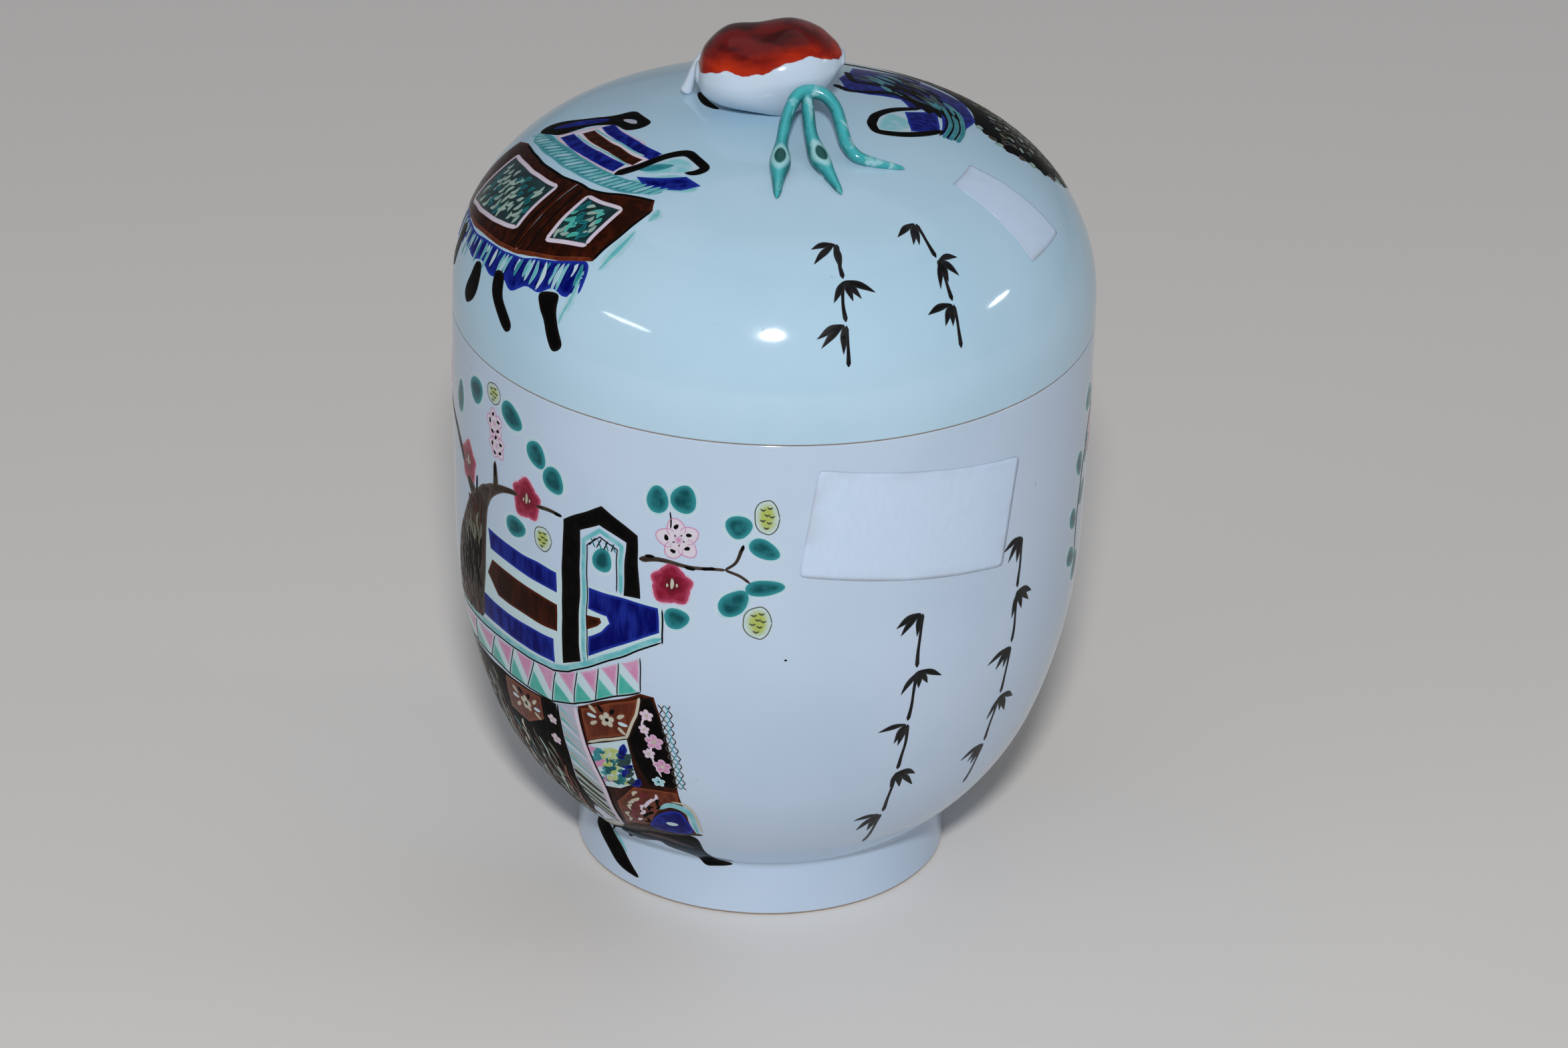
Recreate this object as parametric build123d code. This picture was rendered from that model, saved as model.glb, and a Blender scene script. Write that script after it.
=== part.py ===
from build123d import *
from math import asin, hypot, sin, sqrt, tan
import os

# Lidded porcelain jar with a fungus-shaped knob on three turquoise stems, and two blank paper labels.
# Millimetres. +Z is up, the origin is the centre of the foot's resting face, and the front looks along -Y.

# Jar: the rim, then how far the side is set in from it at three heights, and the foot's spread below the neck
rim_radius = 70.0
jar_height = 130.0
belly_inset = 0.85
belly_height = 78.4
haunch_inset = 8.1
haunch_height = 41.0
neck_inset = 29.75
foot_height = 12.4
foot_spread = 1.05

# Jar: wall, foot ring and floor
jar_wall = 3.6
foot_width = 4.6
foot_draft = 1.2
recess_depth = 8.0
floor_thickness = 4.4
rim_edge = 0.5
foot_edge = 0.9
foot_crease = 1.6

# Lid: outside wall, shoulder and dome, then the flange that drops into the mouth
lid_wall = 3.4
lid_wall_height = 4.6
shoulder_radius = 36.1
dome_radius = 130.8
flange_clearance = 0.8
flange_width = 3.0
flange_depth = 8.0
flange_web = 3.4
flange_edge = 0.8

# Knob: upright ellipses across its length, as place along X, lowest and highest point over the lid's top,
# and half the depth from front to back
cap_stations = [
    (-17.5, 5.0, 9.4, 3.6),
    (-16.0, 2.5, 13.1, 7.6),
    (-11.6, 0.2, 16.9, 10.6),
    (-5.0, -0.9, 17.6, 12.0),
    (2.0, -0.9, 19.4, 12.0),
    (7.6, 3.0, 17.6, 10.4),
    (11.2, 7.4, 14.8, 7.0),
    (13.2, 10.2, 12.8, 3.4),
]

# Roots and stems: centre line as X, Y and height over the lid's surface, then the radius
root_stations = [
    (-20.4, 9.0, 0.2, 1.5),
    (-19.3, 8.7, 3.0, 1.15),
    (-18.3, 8.2, 6.0, 1.0),
    (-16.8, 7.4, 8.8, 0.95),
    (-13.5, 6.2, 10.8, 0.95),
]
crown_stations = [
    (2.6, -14.8, 7.2, 1.4),
    (4.2, -13.0, 8.8, 1.5),
    (6.8, -12.2, 9.3, 1.55),
    (9.6, -12.6, 8.8, 1.5),
    (11.8, -14.2, 7.2, 1.4),
]
left_leg_stations = [
    (1.4, -18.4, 5.0, 1.35),
    (0.7, -22.6, 3.0, 1.35),
    (0.5, -27.2, 1.6, 2.3),
    (0.2, -31.6, 0.8, 1.5),
    (0.0, -37.4, 0.3, 0.6),
]
middle_leg_stations = [
    (5.9, -12.4, 9.1, 1.25),
    (6.2, -16.4, 6.4, 1.35),
    (7.0, -20.8, 3.6, 1.45),
    (8.8, -25.4, 1.6, 2.2),
    (11.0, -29.6, 0.8, 1.4),
    (13.6, -34.6, 0.3, 0.6),
]
right_leg_stations = [
    (13.2, -17.4, 5.0, 1.4),
    (14.4, -20.6, 2.8, 1.4),
    (16.8, -22.6, 1.3, 1.4),
    (21.0, -22.8, 0.7, 1.05),
    (27.0, -22.0, 0.3, 0.5),
]
tube_steps = 3

# Labels: flat paper size, then the centre's place from the jar's rim, and the turn about its own normal.
# Angles are in degrees, and an azimuth runs from the front towards +X.
paper = 0.2
jar_label_width = 50.0
jar_label_height = 25.4
jar_label_azimuth = 27.3
jar_label_drop = 21.8
jar_label_turn = -8.0
lid_label_length = 24.0
lid_label_width = 13.0
lid_label_azimuth = 65.8
lid_label_inset = 16.0
lid_label_turn = -3.0
label_reach = 12.0

# The radii that several pieces share
neck_radius = rim_radius - neck_inset
foot_radius = neck_radius + foot_spread


def at_radius(r, z):
    """A point of the profile, in the XZ plane that is turned about the axis."""
    return Vector(r, 0, z)


def inward(tangent):
    """The normal that points into the jar, for a profile that runs downwards."""
    return Vector(tangent.Z, 0, -tangent.X)


def tangent_chain(points, start):
    """Arcs through the points, each tangent to the one before."""
    arcs = []
    for first, last in zip(points, points[1:]):
        arcs.append(TangentArc(first, last, tangent=start))
        start = arcs[-1] % 1
    return arcs


def turned(edges):
    """The solid of revolution of the profile that the edges close, about Z."""
    return revolve(make_face(edges), Axis.Z)


def jar_profile(depth):
    """The jar's side from the rim to the foot ring, set in from its outside by depth."""
    outside = tangent_chain(
        [
            at_radius(rim_radius, jar_height),
            at_radius(rim_radius - belly_inset, belly_height),
            at_radius(rim_radius - haunch_inset, haunch_height),
            at_radius(neck_radius, foot_height),
        ],
        Vector(0, 0, -1),
    )
    points = [outside[0] @ 0 + inward(outside[0] % 0) * depth]
    points += [arc @ 1 + inward(arc % 1) * depth for arc in outside]
    return tangent_chain(points, Vector(0, 0, -1))


def jar_solid(grown=0.0):
    """The jar's body without foot ring or hollow, larger all over by grown."""
    side = jar_profile(-grown)
    top, bottom = side[0] @ 0, side[-1] @ 1
    return turned(side + [
        Line(bottom, (0, 0, bottom.Z)),
        Line((0, 0, bottom.Z), (0, 0, top.Z)),
        Line((0, 0, top.Z), top),
    ])


def jar_hollow():
    """The space inside the jar, open at the mouth, with a rounded edge round its flat floor."""
    side = jar_profile(jar_wall)
    mouth, heel = side[0] @ 0, side[-1] @ 1
    floor_z = recess_depth + floor_thickness
    slope = side[-1] % 1
    half_turn = asin(-slope.Z) / 2
    floor_edge = Vector(heel.X - (heel.Z - floor_z) / tan(half_turn), 0, floor_z)
    return turned(side + [
        TangentArc(heel, floor_edge, tangent=slope),
        Line(floor_edge, (0, 0, floor_z)),
        Line((0, 0, floor_z), (0, 0, mouth.Z)),
        Line((0, 0, mouth.Z), mouth),
    ])


def foot_solid():
    """The foot ring with the base inside it, down to the resting face."""
    inner_foot = foot_radius - foot_width
    inner_top = inner_foot - foot_draft
    outline = Polyline(
        (0, 0, foot_height),
        (neck_radius, 0, foot_height),
        (foot_radius, 0, 0),
        (inner_foot, 0, 0),
        (inner_top, 0, recess_depth),
        (0, 0, recess_depth),
        close=True,
    )
    return turned(outline.edges())


def ring_edges(solid, radius, z):
    """The circular edges of the solid at a radius and height."""
    near = 0.01
    circles = solid.edges().filter_by(GeomType.CIRCLE)
    return [e for e in circles if abs(e.radius - radius) < near and abs(e.center().Z - z) < near]


def make_jar_body():
    body = jar_solid() + foot_solid() - jar_hollow()
    body = fillet(ring_edges(body, neck_radius, foot_height), foot_crease)
    rim = ring_edges(body, rim_radius, jar_height) + ring_edges(body, rim_radius - jar_wall, jar_height)
    body = fillet(rim, rim_edge)
    foot = ring_edges(body, foot_radius, 0) + ring_edges(body, foot_radius - foot_width, 0)
    return fillet(foot, foot_edge)


# The lid's shape: the shoulder's centre, the dome's centre on the axis, and the height of its top
shoulder_z = jar_height + lid_wall_height
shoulder_x = rim_radius - shoulder_radius
dome_z = shoulder_z - sqrt((dome_radius - shoulder_radius) ** 2 - shoulder_x ** 2)
lid_top = dome_z + dome_radius
shoulder_meets_dome = shoulder_x * dome_radius / (dome_radius - shoulder_radius)


def lid_height(r):
    """Height of the lid's outside at a radius."""
    if r < shoulder_meets_dome:
        return dome_z + sqrt(dome_radius ** 2 - r ** 2)
    return shoulder_z + sqrt(shoulder_radius ** 2 - (r - shoulder_x) ** 2)


def lid_normal(r):
    """Outward normal of the lid's outside at a radius, in the XZ plane."""
    if r < shoulder_meets_dome:
        return Vector(r, 0, lid_height(r) - dome_z).normalized()
    return Vector(r - shoulder_x, 0, lid_height(r) - shoulder_z).normalized()


def lid_solid(grown=0.0):
    """The lid as one full dome down to its seat, larger all over by grown."""
    edge = rim_radius + grown
    dome = dome_radius + grown
    joint_x = shoulder_x * dome / (dome_radius - shoulder_radius)
    joint = Vector(joint_x, 0, dome_z + sqrt(dome ** 2 - joint_x ** 2))
    wall_top = Vector(edge, 0, shoulder_z)
    top = Vector(0, 0, dome_z + dome)
    seat = Vector(0, 0, jar_height)
    rounded = TangentArc(wall_top, joint, tangent=(0, 0, 1))
    return turned([
        Line(seat, (edge, 0, jar_height)),
        Line((edge, 0, jar_height), wall_top),
        rounded,
        TangentArc(joint, top, tangent=rounded % 1),
        Line(top, seat),
    ])


def ring(inner, outer, low, high):
    """A plain upright ring."""
    wall = Cylinder(outer, high - low) - Cylinder(inner, high - low)
    return Pos(0, 0, (low + high) / 2) * wall


def make_lid_shell():
    mouth = rim_radius - jar_wall
    flange_outer = mouth - flange_clearance
    flange_inner = flange_outer - flange_width
    flange_bottom = jar_height - flange_depth
    web_outer = rim_radius - lid_wall / 2
    web = ring(flange_inner, web_outer, jar_height, jar_height + flange_web)
    flange = ring(flange_inner, flange_outer, flange_bottom, jar_height + flange_web)
    shell = lid_solid() - lid_solid(-lid_wall) + web + flange
    shell = fillet(ring_edges(shell, rim_radius, jar_height), rim_edge)
    low_edges = ring_edges(shell, flange_outer, flange_bottom)
    low_edges += ring_edges(shell, flange_inner, flange_bottom)
    return fillet(low_edges, flange_edge)


def tube(stations):
    """A round tube of changing thickness along a smooth path through stations over the lid's surface."""
    centres = [Vector(x, y, lid_height(hypot(x, y)) + over) for x, y, over, _ in stations]
    radii = [station[3] for station in stations]
    path = Spline(*centres)
    places = [path.param_at_point(centre) for centre in centres]
    sections = []
    for i in range((len(stations) - 1) * tube_steps + 1):
        span = min(i // tube_steps, len(stations) - 2)
        share = i / tube_steps - span
        place = places[span] + (places[span + 1] - places[span]) * share
        ease = share * share * (3 - 2 * share)
        radius = radii[span] + (radii[span + 1] - radii[span]) * ease
        along = path % place
        across = along.cross(Vector(0, 0, 1))
        sections.append(Plane(path @ place, x_dir=across, z_dir=along) * Circle(radius))
    return loft(sections)


def make_knob_cap():
    sections = []
    for x, low, high, half_depth in cap_stations:
        middle = Vector(x, 0, lid_top + (low + high) / 2)
        upright = Plane(middle, x_dir=(0, 1, 0), z_dir=(1, 0, 0))
        sections.append(upright * Ellipse(half_depth, (high - low) / 2))
    return loft(sections) - lid_solid()


def make_stems(cap):
    """The turquoise crown and its three legs, each cut to what it is luted to."""
    lid = lid_solid()
    crown = tube(crown_stations)
    left = tube([crown_stations[0]] + left_leg_stations) - lid - crown
    right = tube([crown_stations[-1]] + right_leg_stations) - lid - crown
    middle = tube(middle_leg_stations) - lid - crown - cap
    return {
        "stem_crown": crown - cap,
        "stem_left": left - cap,
        "stem_middle": middle,
        "stem_right": right - cap,
    }


def make_jar_label():
    """A paper label wrapped round the jar: the part of a thin skin inside an upright frame."""
    skin = jar_solid(paper) - jar_solid()
    half_angle = jar_label_width / 2 / rim_radius
    chord = 2 * rim_radius * sin(half_angle)
    seat = Pos(0, -rim_radius, jar_height - jar_label_drop) * Rot(0, -jar_label_turn, 0)
    frame = Rot(0, 0, jar_label_azimuth) * seat
    return skin & frame * Box(chord, 2 * label_reach, jar_label_height)


def make_lid_label():
    """A small paper label on the lid's shoulder, with its length down the slope."""
    skin = lid_solid(paper) - lid_solid()
    radius = rim_radius - lid_label_inset
    normal = lid_normal(radius)
    centre = Vector(radius, 0, lid_height(radius))
    seat = Plane(centre, x_dir=Vector(normal.Z, 0, -normal.X), z_dir=normal).location
    frame = Rot(0, 0, lid_label_azimuth - 90) * seat * Rot(0, 0, lid_label_turn)
    return skin & frame * Box(lid_label_length, lid_label_width, label_reach)


def make_parts():
    cap = make_knob_cap()
    parts = {
        "jar_body": make_jar_body(),
        "lid_shell": make_lid_shell(),
        "knob_cap": cap,
        "knob_root": tube(root_stations) - lid_solid() - cap,
        "jar_label": make_jar_label(),
        "lid_label": make_lid_label(),
    }
    parts.update(make_stems(cap))
    return parts


os.makedirs("parts", exist_ok=True)
for name, shape in make_parts().items():
    export_step(shape, f"parts/{name}.step")
    print(name, len(shape.solids()), "solid,", round(shape.volume, 2), "cubic mm")
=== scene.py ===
import bmesh
import bpy
from math import cos, hypot, pi, radians, sin, sqrt
import numpy as np
from mathutils import Matrix, Vector, noise
from mathutils.geometry import delaunay_2d_cdt


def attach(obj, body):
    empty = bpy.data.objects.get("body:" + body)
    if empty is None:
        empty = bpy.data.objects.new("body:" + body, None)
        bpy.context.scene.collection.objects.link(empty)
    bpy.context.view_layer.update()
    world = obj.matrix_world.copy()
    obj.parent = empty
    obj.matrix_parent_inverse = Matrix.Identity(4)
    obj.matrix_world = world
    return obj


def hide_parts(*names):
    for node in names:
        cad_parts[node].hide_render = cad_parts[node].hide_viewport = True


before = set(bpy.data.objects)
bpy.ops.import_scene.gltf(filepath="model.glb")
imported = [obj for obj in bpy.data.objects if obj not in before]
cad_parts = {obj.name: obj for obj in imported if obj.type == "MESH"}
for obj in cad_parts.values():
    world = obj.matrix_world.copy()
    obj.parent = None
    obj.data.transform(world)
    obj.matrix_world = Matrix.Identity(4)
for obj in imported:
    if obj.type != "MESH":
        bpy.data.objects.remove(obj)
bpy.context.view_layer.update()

# Lengths are millimetres until a mesh is made, and angles are degrees.
# An azimuth runs from the front (-Y) towards +X, and a run is the distance up a turned surface.
mm = 0.001

# Jar: the same sizes as its solid
rim_radius = 70.0
jar_height = 130.0
belly = (69.15, 78.4)
haunch = (61.9, 41.0)
neck = (40.25, 12.4)
foot_radius = 41.3
foot_width = 4.6
foot_draft = 1.2
recess_depth = 8.0
floor_z = 12.4
jar_wall = 3.6

# Lid: the same sizes as its solid
lid_wall = 3.4
lid_wall_height = 4.6
shoulder_radius = 36.1
dome_radius = 130.8
flange_outer = 65.6
flange_inner = 62.6
flange_bottom = 122.0
web_top = 133.4
shoulder_z = jar_height + lid_wall_height
shoulder_x = rim_radius - shoulder_radius
dome_z = shoulder_z - sqrt((dome_radius - shoulder_radius) ** 2 - shoulder_x ** 2)
lid_top = dome_z + dome_radius

# Glaze
jar_run = 126.27  # run at the jar's rim
neck_round = 1.3  # rounding over the foot
resting_rise = 0.55  # bare biscuit up the resting edge
seat_rise = 0.28  # bare biscuit on both sides of the seat
seat_inset = 0.12  # glaze that reaches in over the seat's edge
foot_pool = 9.0  # reach of the pool over the foot
lid_pool = 3.0  # reach of the pool inside the lid
turned_sides = 288

# Enamel
coat_edge = 0.01  # height of a coat's edge over the glaze
coat = 0.018  # swell of a coat inside its edge
usual_reach = 0.8  # distance in which it swells
coat_step = 0.03  # rise from coat to coat
bed = -0.05  # depth of its bed in the glaze
coat_crease = 30  # angle over which its edges are sharp

# Brush
wobble = 0.36  # how far it strays
wobble_length = 6.0  # and over what length
wobble_slice = 3.7
outline_step = 0.7  # spacing of points along a shape
outline_curve = 6  # steps between two points of a curved outline
grid_pitch = 1.3  # spacing of points inside a shape
grid_margin = 0.35
dab_steps = (0.7549, 0.5698)  # from dab to dab across and up a panel, which spreads them evenly

# Cross-section of a stroke, as shares of half its width and of its swell, with its bed below
stroke_sides = np.array([-1, -0.6, 0, 0.6, 1, 0.6, -0.6])
stroke_rise = np.array([0, 0.7, 1, 0.7, 0, -1, -1])

# Both sources of chance are seeded, so that each run gives the same shapes
rng = np.random.default_rng(11)
noise.seed_set(11)


# Lines and turned surfaces


def unit(vectors):
    """The vectors with a length of one."""
    return vectors / np.maximum(np.linalg.norm(vectors, axis=-1, keepdims=True), 1e-9)


def headings(points):
    """Direction of a polyline at each of its points."""
    return unit(np.gradient(points, axis=0))


def left_of(directions):
    """Flat directions after a quarter turn to the left."""
    return np.stack([-directions[..., 1], directions[..., 0]], -1)


def on_circle(turns):
    """Points at these angles, in radians, on a circle with a radius of one."""
    return np.stack([np.cos(turns), np.sin(turns)], -1)


def around_axis(r, az, z):
    """Points at a radius, azimuth and height."""
    turn = np.radians(az)
    return np.stack([r * np.sin(turn), -r * np.cos(turn), z + 0 * turn], -1)


def run_lengths(points):
    """Distance along a polyline at each of its points."""
    return np.concatenate([[0], np.cumsum(np.linalg.norm(np.diff(points, axis=0), axis=1))])


def sampled(at, stops, rows):
    """Rows read off between their stops."""
    return np.stack([np.interp(at, stops, column) for column in rows.T], -1)


def curve(points, steps, closed=False):
    """A smooth line through the points, with so many steps between two of them."""
    points = np.asarray(points, float)
    if closed:
        around = np.concatenate([points[-1:], points, points[:2]])
    else:
        around = np.concatenate([2 * points[:1] - points[1:2], points, 2 * points[-1:] - points[-2:-1]])
    share = np.linspace(0, 1, steps, endpoint=False)[:, None]
    spans = []
    for a, b, c, d in zip(around, around[1:], around[2:], around[3:]):
        bend = (2 * a - 5 * b + 4 * c - d) * share ** 2 + (3 * b - a - 3 * c + d) * share ** 3
        spans.append(b + ((c - a) * share + bend) / 2)
    return np.concatenate(spans if closed else spans + [points[-1:]])


def arc_run(start, heading, end, count=48):
    """Points on the arc that leaves start along heading and reaches end, and the heading there."""
    start, end, left = np.array(start), np.array(end), left_of(np.array(heading))
    chord = end - start
    reach = chord @ chord / (2 * chord @ left)
    centre = start + left * reach
    first = np.arctan2(*(start - centre)[::-1])
    last = np.arctan2(*(end - centre)[::-1])
    sweep = (last - first + pi) % (2 * pi) - pi
    points = centre + abs(reach) * on_circle(first + sweep * np.linspace(0, 1, count))
    return points, left_of(end - centre) / abs(reach) * np.sign(sweep)


def trimmed(points, from_start, from_end):
    """The polyline without its first and last stretch."""
    along = run_lengths(points)
    low, high = from_start, along[-1] - from_end
    inner = along[(along > low) & (along < high)]
    return sampled(np.concatenate([[low], inner, [high]]), along, points)


def soften(runs, cuts):
    """One polyline from runs that meet end to start, with each corner rounded off over its cut length."""
    runs = [np.array(run, float) for run in runs]
    bend = np.linspace(0, 1, 8)[1:-1, None]
    pieces = []
    for i, run in enumerate(runs):
        before = cuts[i - 1] if i else 0
        after = cuts[i] if i < len(cuts) else 0
        piece = trimmed(run, before, after)
        pieces.append(piece)
        if i < len(cuts):
            following = trimmed(runs[i + 1], after, 0)[0]
            corner = 2 * bend * (1 - bend) * run[-1]
            pieces.append((1 - bend) ** 2 * piece[-1] + corner + bend ** 2 * following)
    return np.concatenate(pieces)


def jar_side():
    """The jar's outside from the neck over the foot up to the rim."""
    corners = [(rim_radius, jar_height), belly, haunch, neck]
    heading = (0, -1)
    side = []
    for start, end in zip(corners, corners[1:]):
        points, heading = arc_run(start, heading, end)
        side.append(points[:-1])
    return np.concatenate(side + [np.array([neck])])[::-1]


def lid_side(wall=0.0, foot=jar_height):
    """The lid's outside, or a surface inside it, from its wall up to the axis."""
    rise = np.linspace(0, np.arccos(shoulder_x / (dome_radius - shoulder_radius)), 40)
    shoulder = on_circle(rise) * (shoulder_radius - wall) + [shoulder_x, shoulder_z]
    climb = np.linspace(rise[-1], pi / 2, 50)[1:]
    dome = on_circle(climb) * (dome_radius - wall) + [0, dome_z]
    return np.concatenate([[(rim_radius - wall, foot)], shoulder, dome])


def ripple(az, r, z):
    """How far the hand-turned wall strays from a true circle."""
    turn = np.radians(az)
    broad = 0.10 * np.sin(2 * turn + 0.6)
    waves = broad + 0.05 * np.sin(5 * turn + z / 17) + 0.03 * np.sin(11 * turn - z / 9)
    return waves * r / rim_radius


class Chart:
    """A turned surface, addressed by azimuth and run."""

    def __init__(self, profile, top_run):
        self.r, self.z = profile.T
        along = run_lengths(profile)
        self.run = along - along[-1] + top_run
        self.rows = np.hstack([profile, -left_of(headings(profile))])

    def mm_per_degree(self, run):
        return np.interp(run, self.run, self.r) * pi / 180

    def place(self, az, run, lift):
        """Points over the surface at a height of lift along its normal."""
        r, z, out, up = np.moveaxis(sampled(run, self.run, self.rows), -1, 0)
        return around_axis(r + ripple(az, r, z) + out * lift, az, z + up * lift)


def add_object(name, data):
    """A new object in the scene."""
    thing = bpy.data.objects.new(name, data)
    bpy.context.scene.collection.objects.link(thing)
    return thing


def make_piece(name, points, faces, material, body, marks, replaces=(), crease=None):
    """A mesh piece that rides on a body, smooth but for edges over the crease angle."""
    mesh = bpy.data.meshes.new(name)
    mesh.from_pydata((np.reshape(points, (-1, 3)) * mm).tolist(), [], faces)
    for mark, values in marks.items():
        layer = mesh.attributes.new(mark, "FLOAT", "POINT")
        layer.data.foreach_set("value", np.ravel(values).astype(np.float32))
    work = bmesh.new()
    work.from_mesh(mesh)
    bmesh.ops.recalc_face_normals(work, faces=work.faces)
    work.to_mesh(mesh)
    work.free()
    mesh.shade_smooth()
    if crease:
        mesh.set_sharp_from_angle(angle=radians(crease))
    mesh.materials.append(material)
    piece = add_object(name, mesh)
    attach(piece, body)
    if replaces:
        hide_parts(*replaces)


def ring_quads(rings, sides):
    """Quads between rings of points that follow each other."""
    quads = []
    for low in range(0, (rings - 1) * sides, sides):
        for j in range(sides):
            k = (j + 1) % sides
            quads.append((low + j, low + k, low + sides + k, low + sides + j))
    return quads


def tube_faces(rings, sides):
    """Quads between rings of points, with both ends closed."""
    ends = [tuple(range(sides))[::-1], tuple(range((rings - 1) * sides, rings * sides))]
    return ends + ring_quads(rings, sides)


def make_turned(name, profile, marks, material, body, node):
    """A profile turned about Z, whose ends lie on the axis."""
    az = np.arange(turned_sides) * 360 / turned_sides
    r, z = profile[1:-1, 0:1], profile[1:-1, 1:2]
    rings = around_axis(r + ripple(az, r, z), az, z).reshape(-1, 3)
    points = np.concatenate([rings, [[0, 0, profile[0, 1]], [0, 0, profile[-1, 1]]]])
    faces = ring_quads(len(r), turned_sides)
    last = len(rings) - turned_sides
    for j in range(turned_sides):
        k = (j + 1) % turned_sides
        faces.append((len(rings), k, j))
        faces.append((len(rings) + 1, last + j, last + k))
    spread = {}
    for mark, values in marks.items():
        spread[mark] = np.append(np.repeat(values[1:-1], turned_sides), [values[0], values[-1]])
    make_piece(name, points, faces, material, body, spread, [node])


# Materials


class Nodes:
    """A material's node tree, with short calls for the nodes used here."""

    def __init__(self, name):
        self.material = bpy.data.materials.new(name)
        self.material.use_nodes = True
        self.tree = self.material.node_tree
        self.shader = self.tree.nodes["Principled BSDF"]
        self.where = self.add("ShaderNodeTexCoord").outputs["Object"]

    def add(self, kind, inputs=None, **settings):
        node = self.tree.nodes.new(kind)
        for name, value in settings.items():
            setattr(node, name, value)
        self.fill(node, inputs or {})
        return node

    def fill(self, node, inputs):
        for name, value in inputs.items():
            socket = node.inputs[name]
            if isinstance(value, bpy.types.NodeSocket):
                self.tree.links.new(value, socket)
            else:
                socket.default_value = (*value, 1.0) if socket.type == "RGBA" else value

    def noise(self, scale, detail=3.0, stretch=None):
        where = self.where
        if stretch:
            where = self.add("ShaderNodeVectorMath", {0: where, 1: stretch}, operation="MULTIPLY").outputs[0]
        inputs = {"Vector": where, "Scale": scale, "Detail": detail}
        return self.add("ShaderNodeTexNoise", inputs).outputs["Fac"]

    def mark(self, name):
        return self.add("ShaderNodeAttribute", attribute_name=name).outputs["Fac"]

    def level(self, value, low, high, to_low=0.0, to_high=1.0):
        limits = {"Value": value, 1: low, 2: high, 3: to_low, 4: to_high}
        return self.add("ShaderNodeMapRange", limits, interpolation_type="SMOOTHSTEP").outputs[0]

    def math(self, operation, first, second):
        return self.add("ShaderNodeMath", {0: first, 1: second}, operation=operation).outputs[0]

    def mix(self, factor, first, second):
        return self.add("ShaderNodeMix", {0: factor, 6: first, 7: second}, data_type="RGBA").outputs[2]

    def bump(self, height, distance, strength):
        inputs = {"Height": height, "Distance": distance, "Strength": strength}
        return self.add("ShaderNodeBump", inputs).outputs[0]

    def surface(self, **inputs):
        self.fill(self.shader, {name.replace("_", " "): value for name, value in inputs.items()})
        return self.material


def glaze(name, pale, deep):
    """Porcelain glaze with faint clouds and rare specks, deeper where it pools, wiped off to bare biscuit."""
    nodes = Nodes(name)
    clouds = nodes.noise(26, 4)
    pooled = nodes.math("MAXIMUM", nodes.level(clouds, 0.3, 0.75), nodes.mark("pool"))
    colour = nodes.mix(pooled, pale, deep)
    specks = nodes.level(nodes.noise(380, 1), 0.79, 0.83, 0.0, 0.3)
    colour = nodes.mix(specks, colour, (0.16, 0.16, 0.16))
    bare = nodes.mark("bare")
    biscuit = nodes.mix(nodes.noise(900), (0.42, 0.33, 0.25), (0.20, 0.14, 0.10))
    colour = nodes.mix(bare, colour, biscuit)
    rough = nodes.level(nodes.noise(60, 2), 0.3, 0.7, 0.06, 0.12)
    rough = nodes.math("MAXIMUM", rough, nodes.math("MULTIPLY", bare, 0.7))
    skin = nodes.bump(nodes.noise(160, 2), 0.0001, 0.3)
    return nodes.surface(Base_Color=colour, Roughness=rough, Normal=skin)


enamels = {}


def enamel(name, thin, deep, rough=0.2, streak=None, even=0.6, gloss=0.3):
    """Painted enamel, kept by its name: thin colour at its edges, deep where it lies thick, and brushed."""
    nodes = Nodes("enamel_" + name)
    brushed = nodes.noise(500, 3, streak) if streak else nodes.noise(330, 3)
    load = nodes.math("MULTIPLY", nodes.mark("shade"), nodes.level(brushed, 0.3, 0.6, even, 1.0))
    colour = nodes.mix(load, thin, deep)
    finish = nodes.level(nodes.noise(700, 2), 0.3, 0.7, rough * 0.7, rough * 1.3)
    skin = nodes.bump(brushed, 0.00005, 0.4)
    enamels[name] = nodes.surface(Base_Color=colour, Roughness=finish, Normal=skin, Specular_IOR_Level=gloss)


def knob_enamel():
    """Iron red over white: bright at the painted edge, almost black on the crown."""
    nodes = Nodes("knob_red_over_white")
    uneven = nodes.level(nodes.noise(300, 2), 0.2, 0.8, -0.02, 0.02)
    edge = nodes.math("ADD", nodes.mark("shade"), uneven)
    cloud = nodes.noise(150, 4, (0.6, 1.0, 2.0))
    bright = nodes.mix(nodes.level(cloud, 0.35, 0.65), (0.46, 0.028, 0.004), (0.24, 0.008, 0.004))
    dark = nodes.mix(nodes.level(cloud, 0.4, 0.6), (0.15, 0.006, 0.006), (0.05, 0.003, 0.003))
    red = nodes.mix(nodes.level(edge, 0.5, 0.86), bright, dark)
    white = nodes.mix(nodes.noise(90), (0.58, 0.68, 0.80), (0.48, 0.60, 0.72))
    colour = nodes.mix(nodes.level(edge, 0.492, 0.508), white, red)
    finish = nodes.level(nodes.noise(140, 2), 0.3, 0.7, 0.1, 0.22)
    skin = nodes.bump(cloud, 0.0002, 0.3)
    return nodes.surface(Base_Color=colour, Roughness=finish, Normal=skin, Specular_IOR_Level=0.25)


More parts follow.
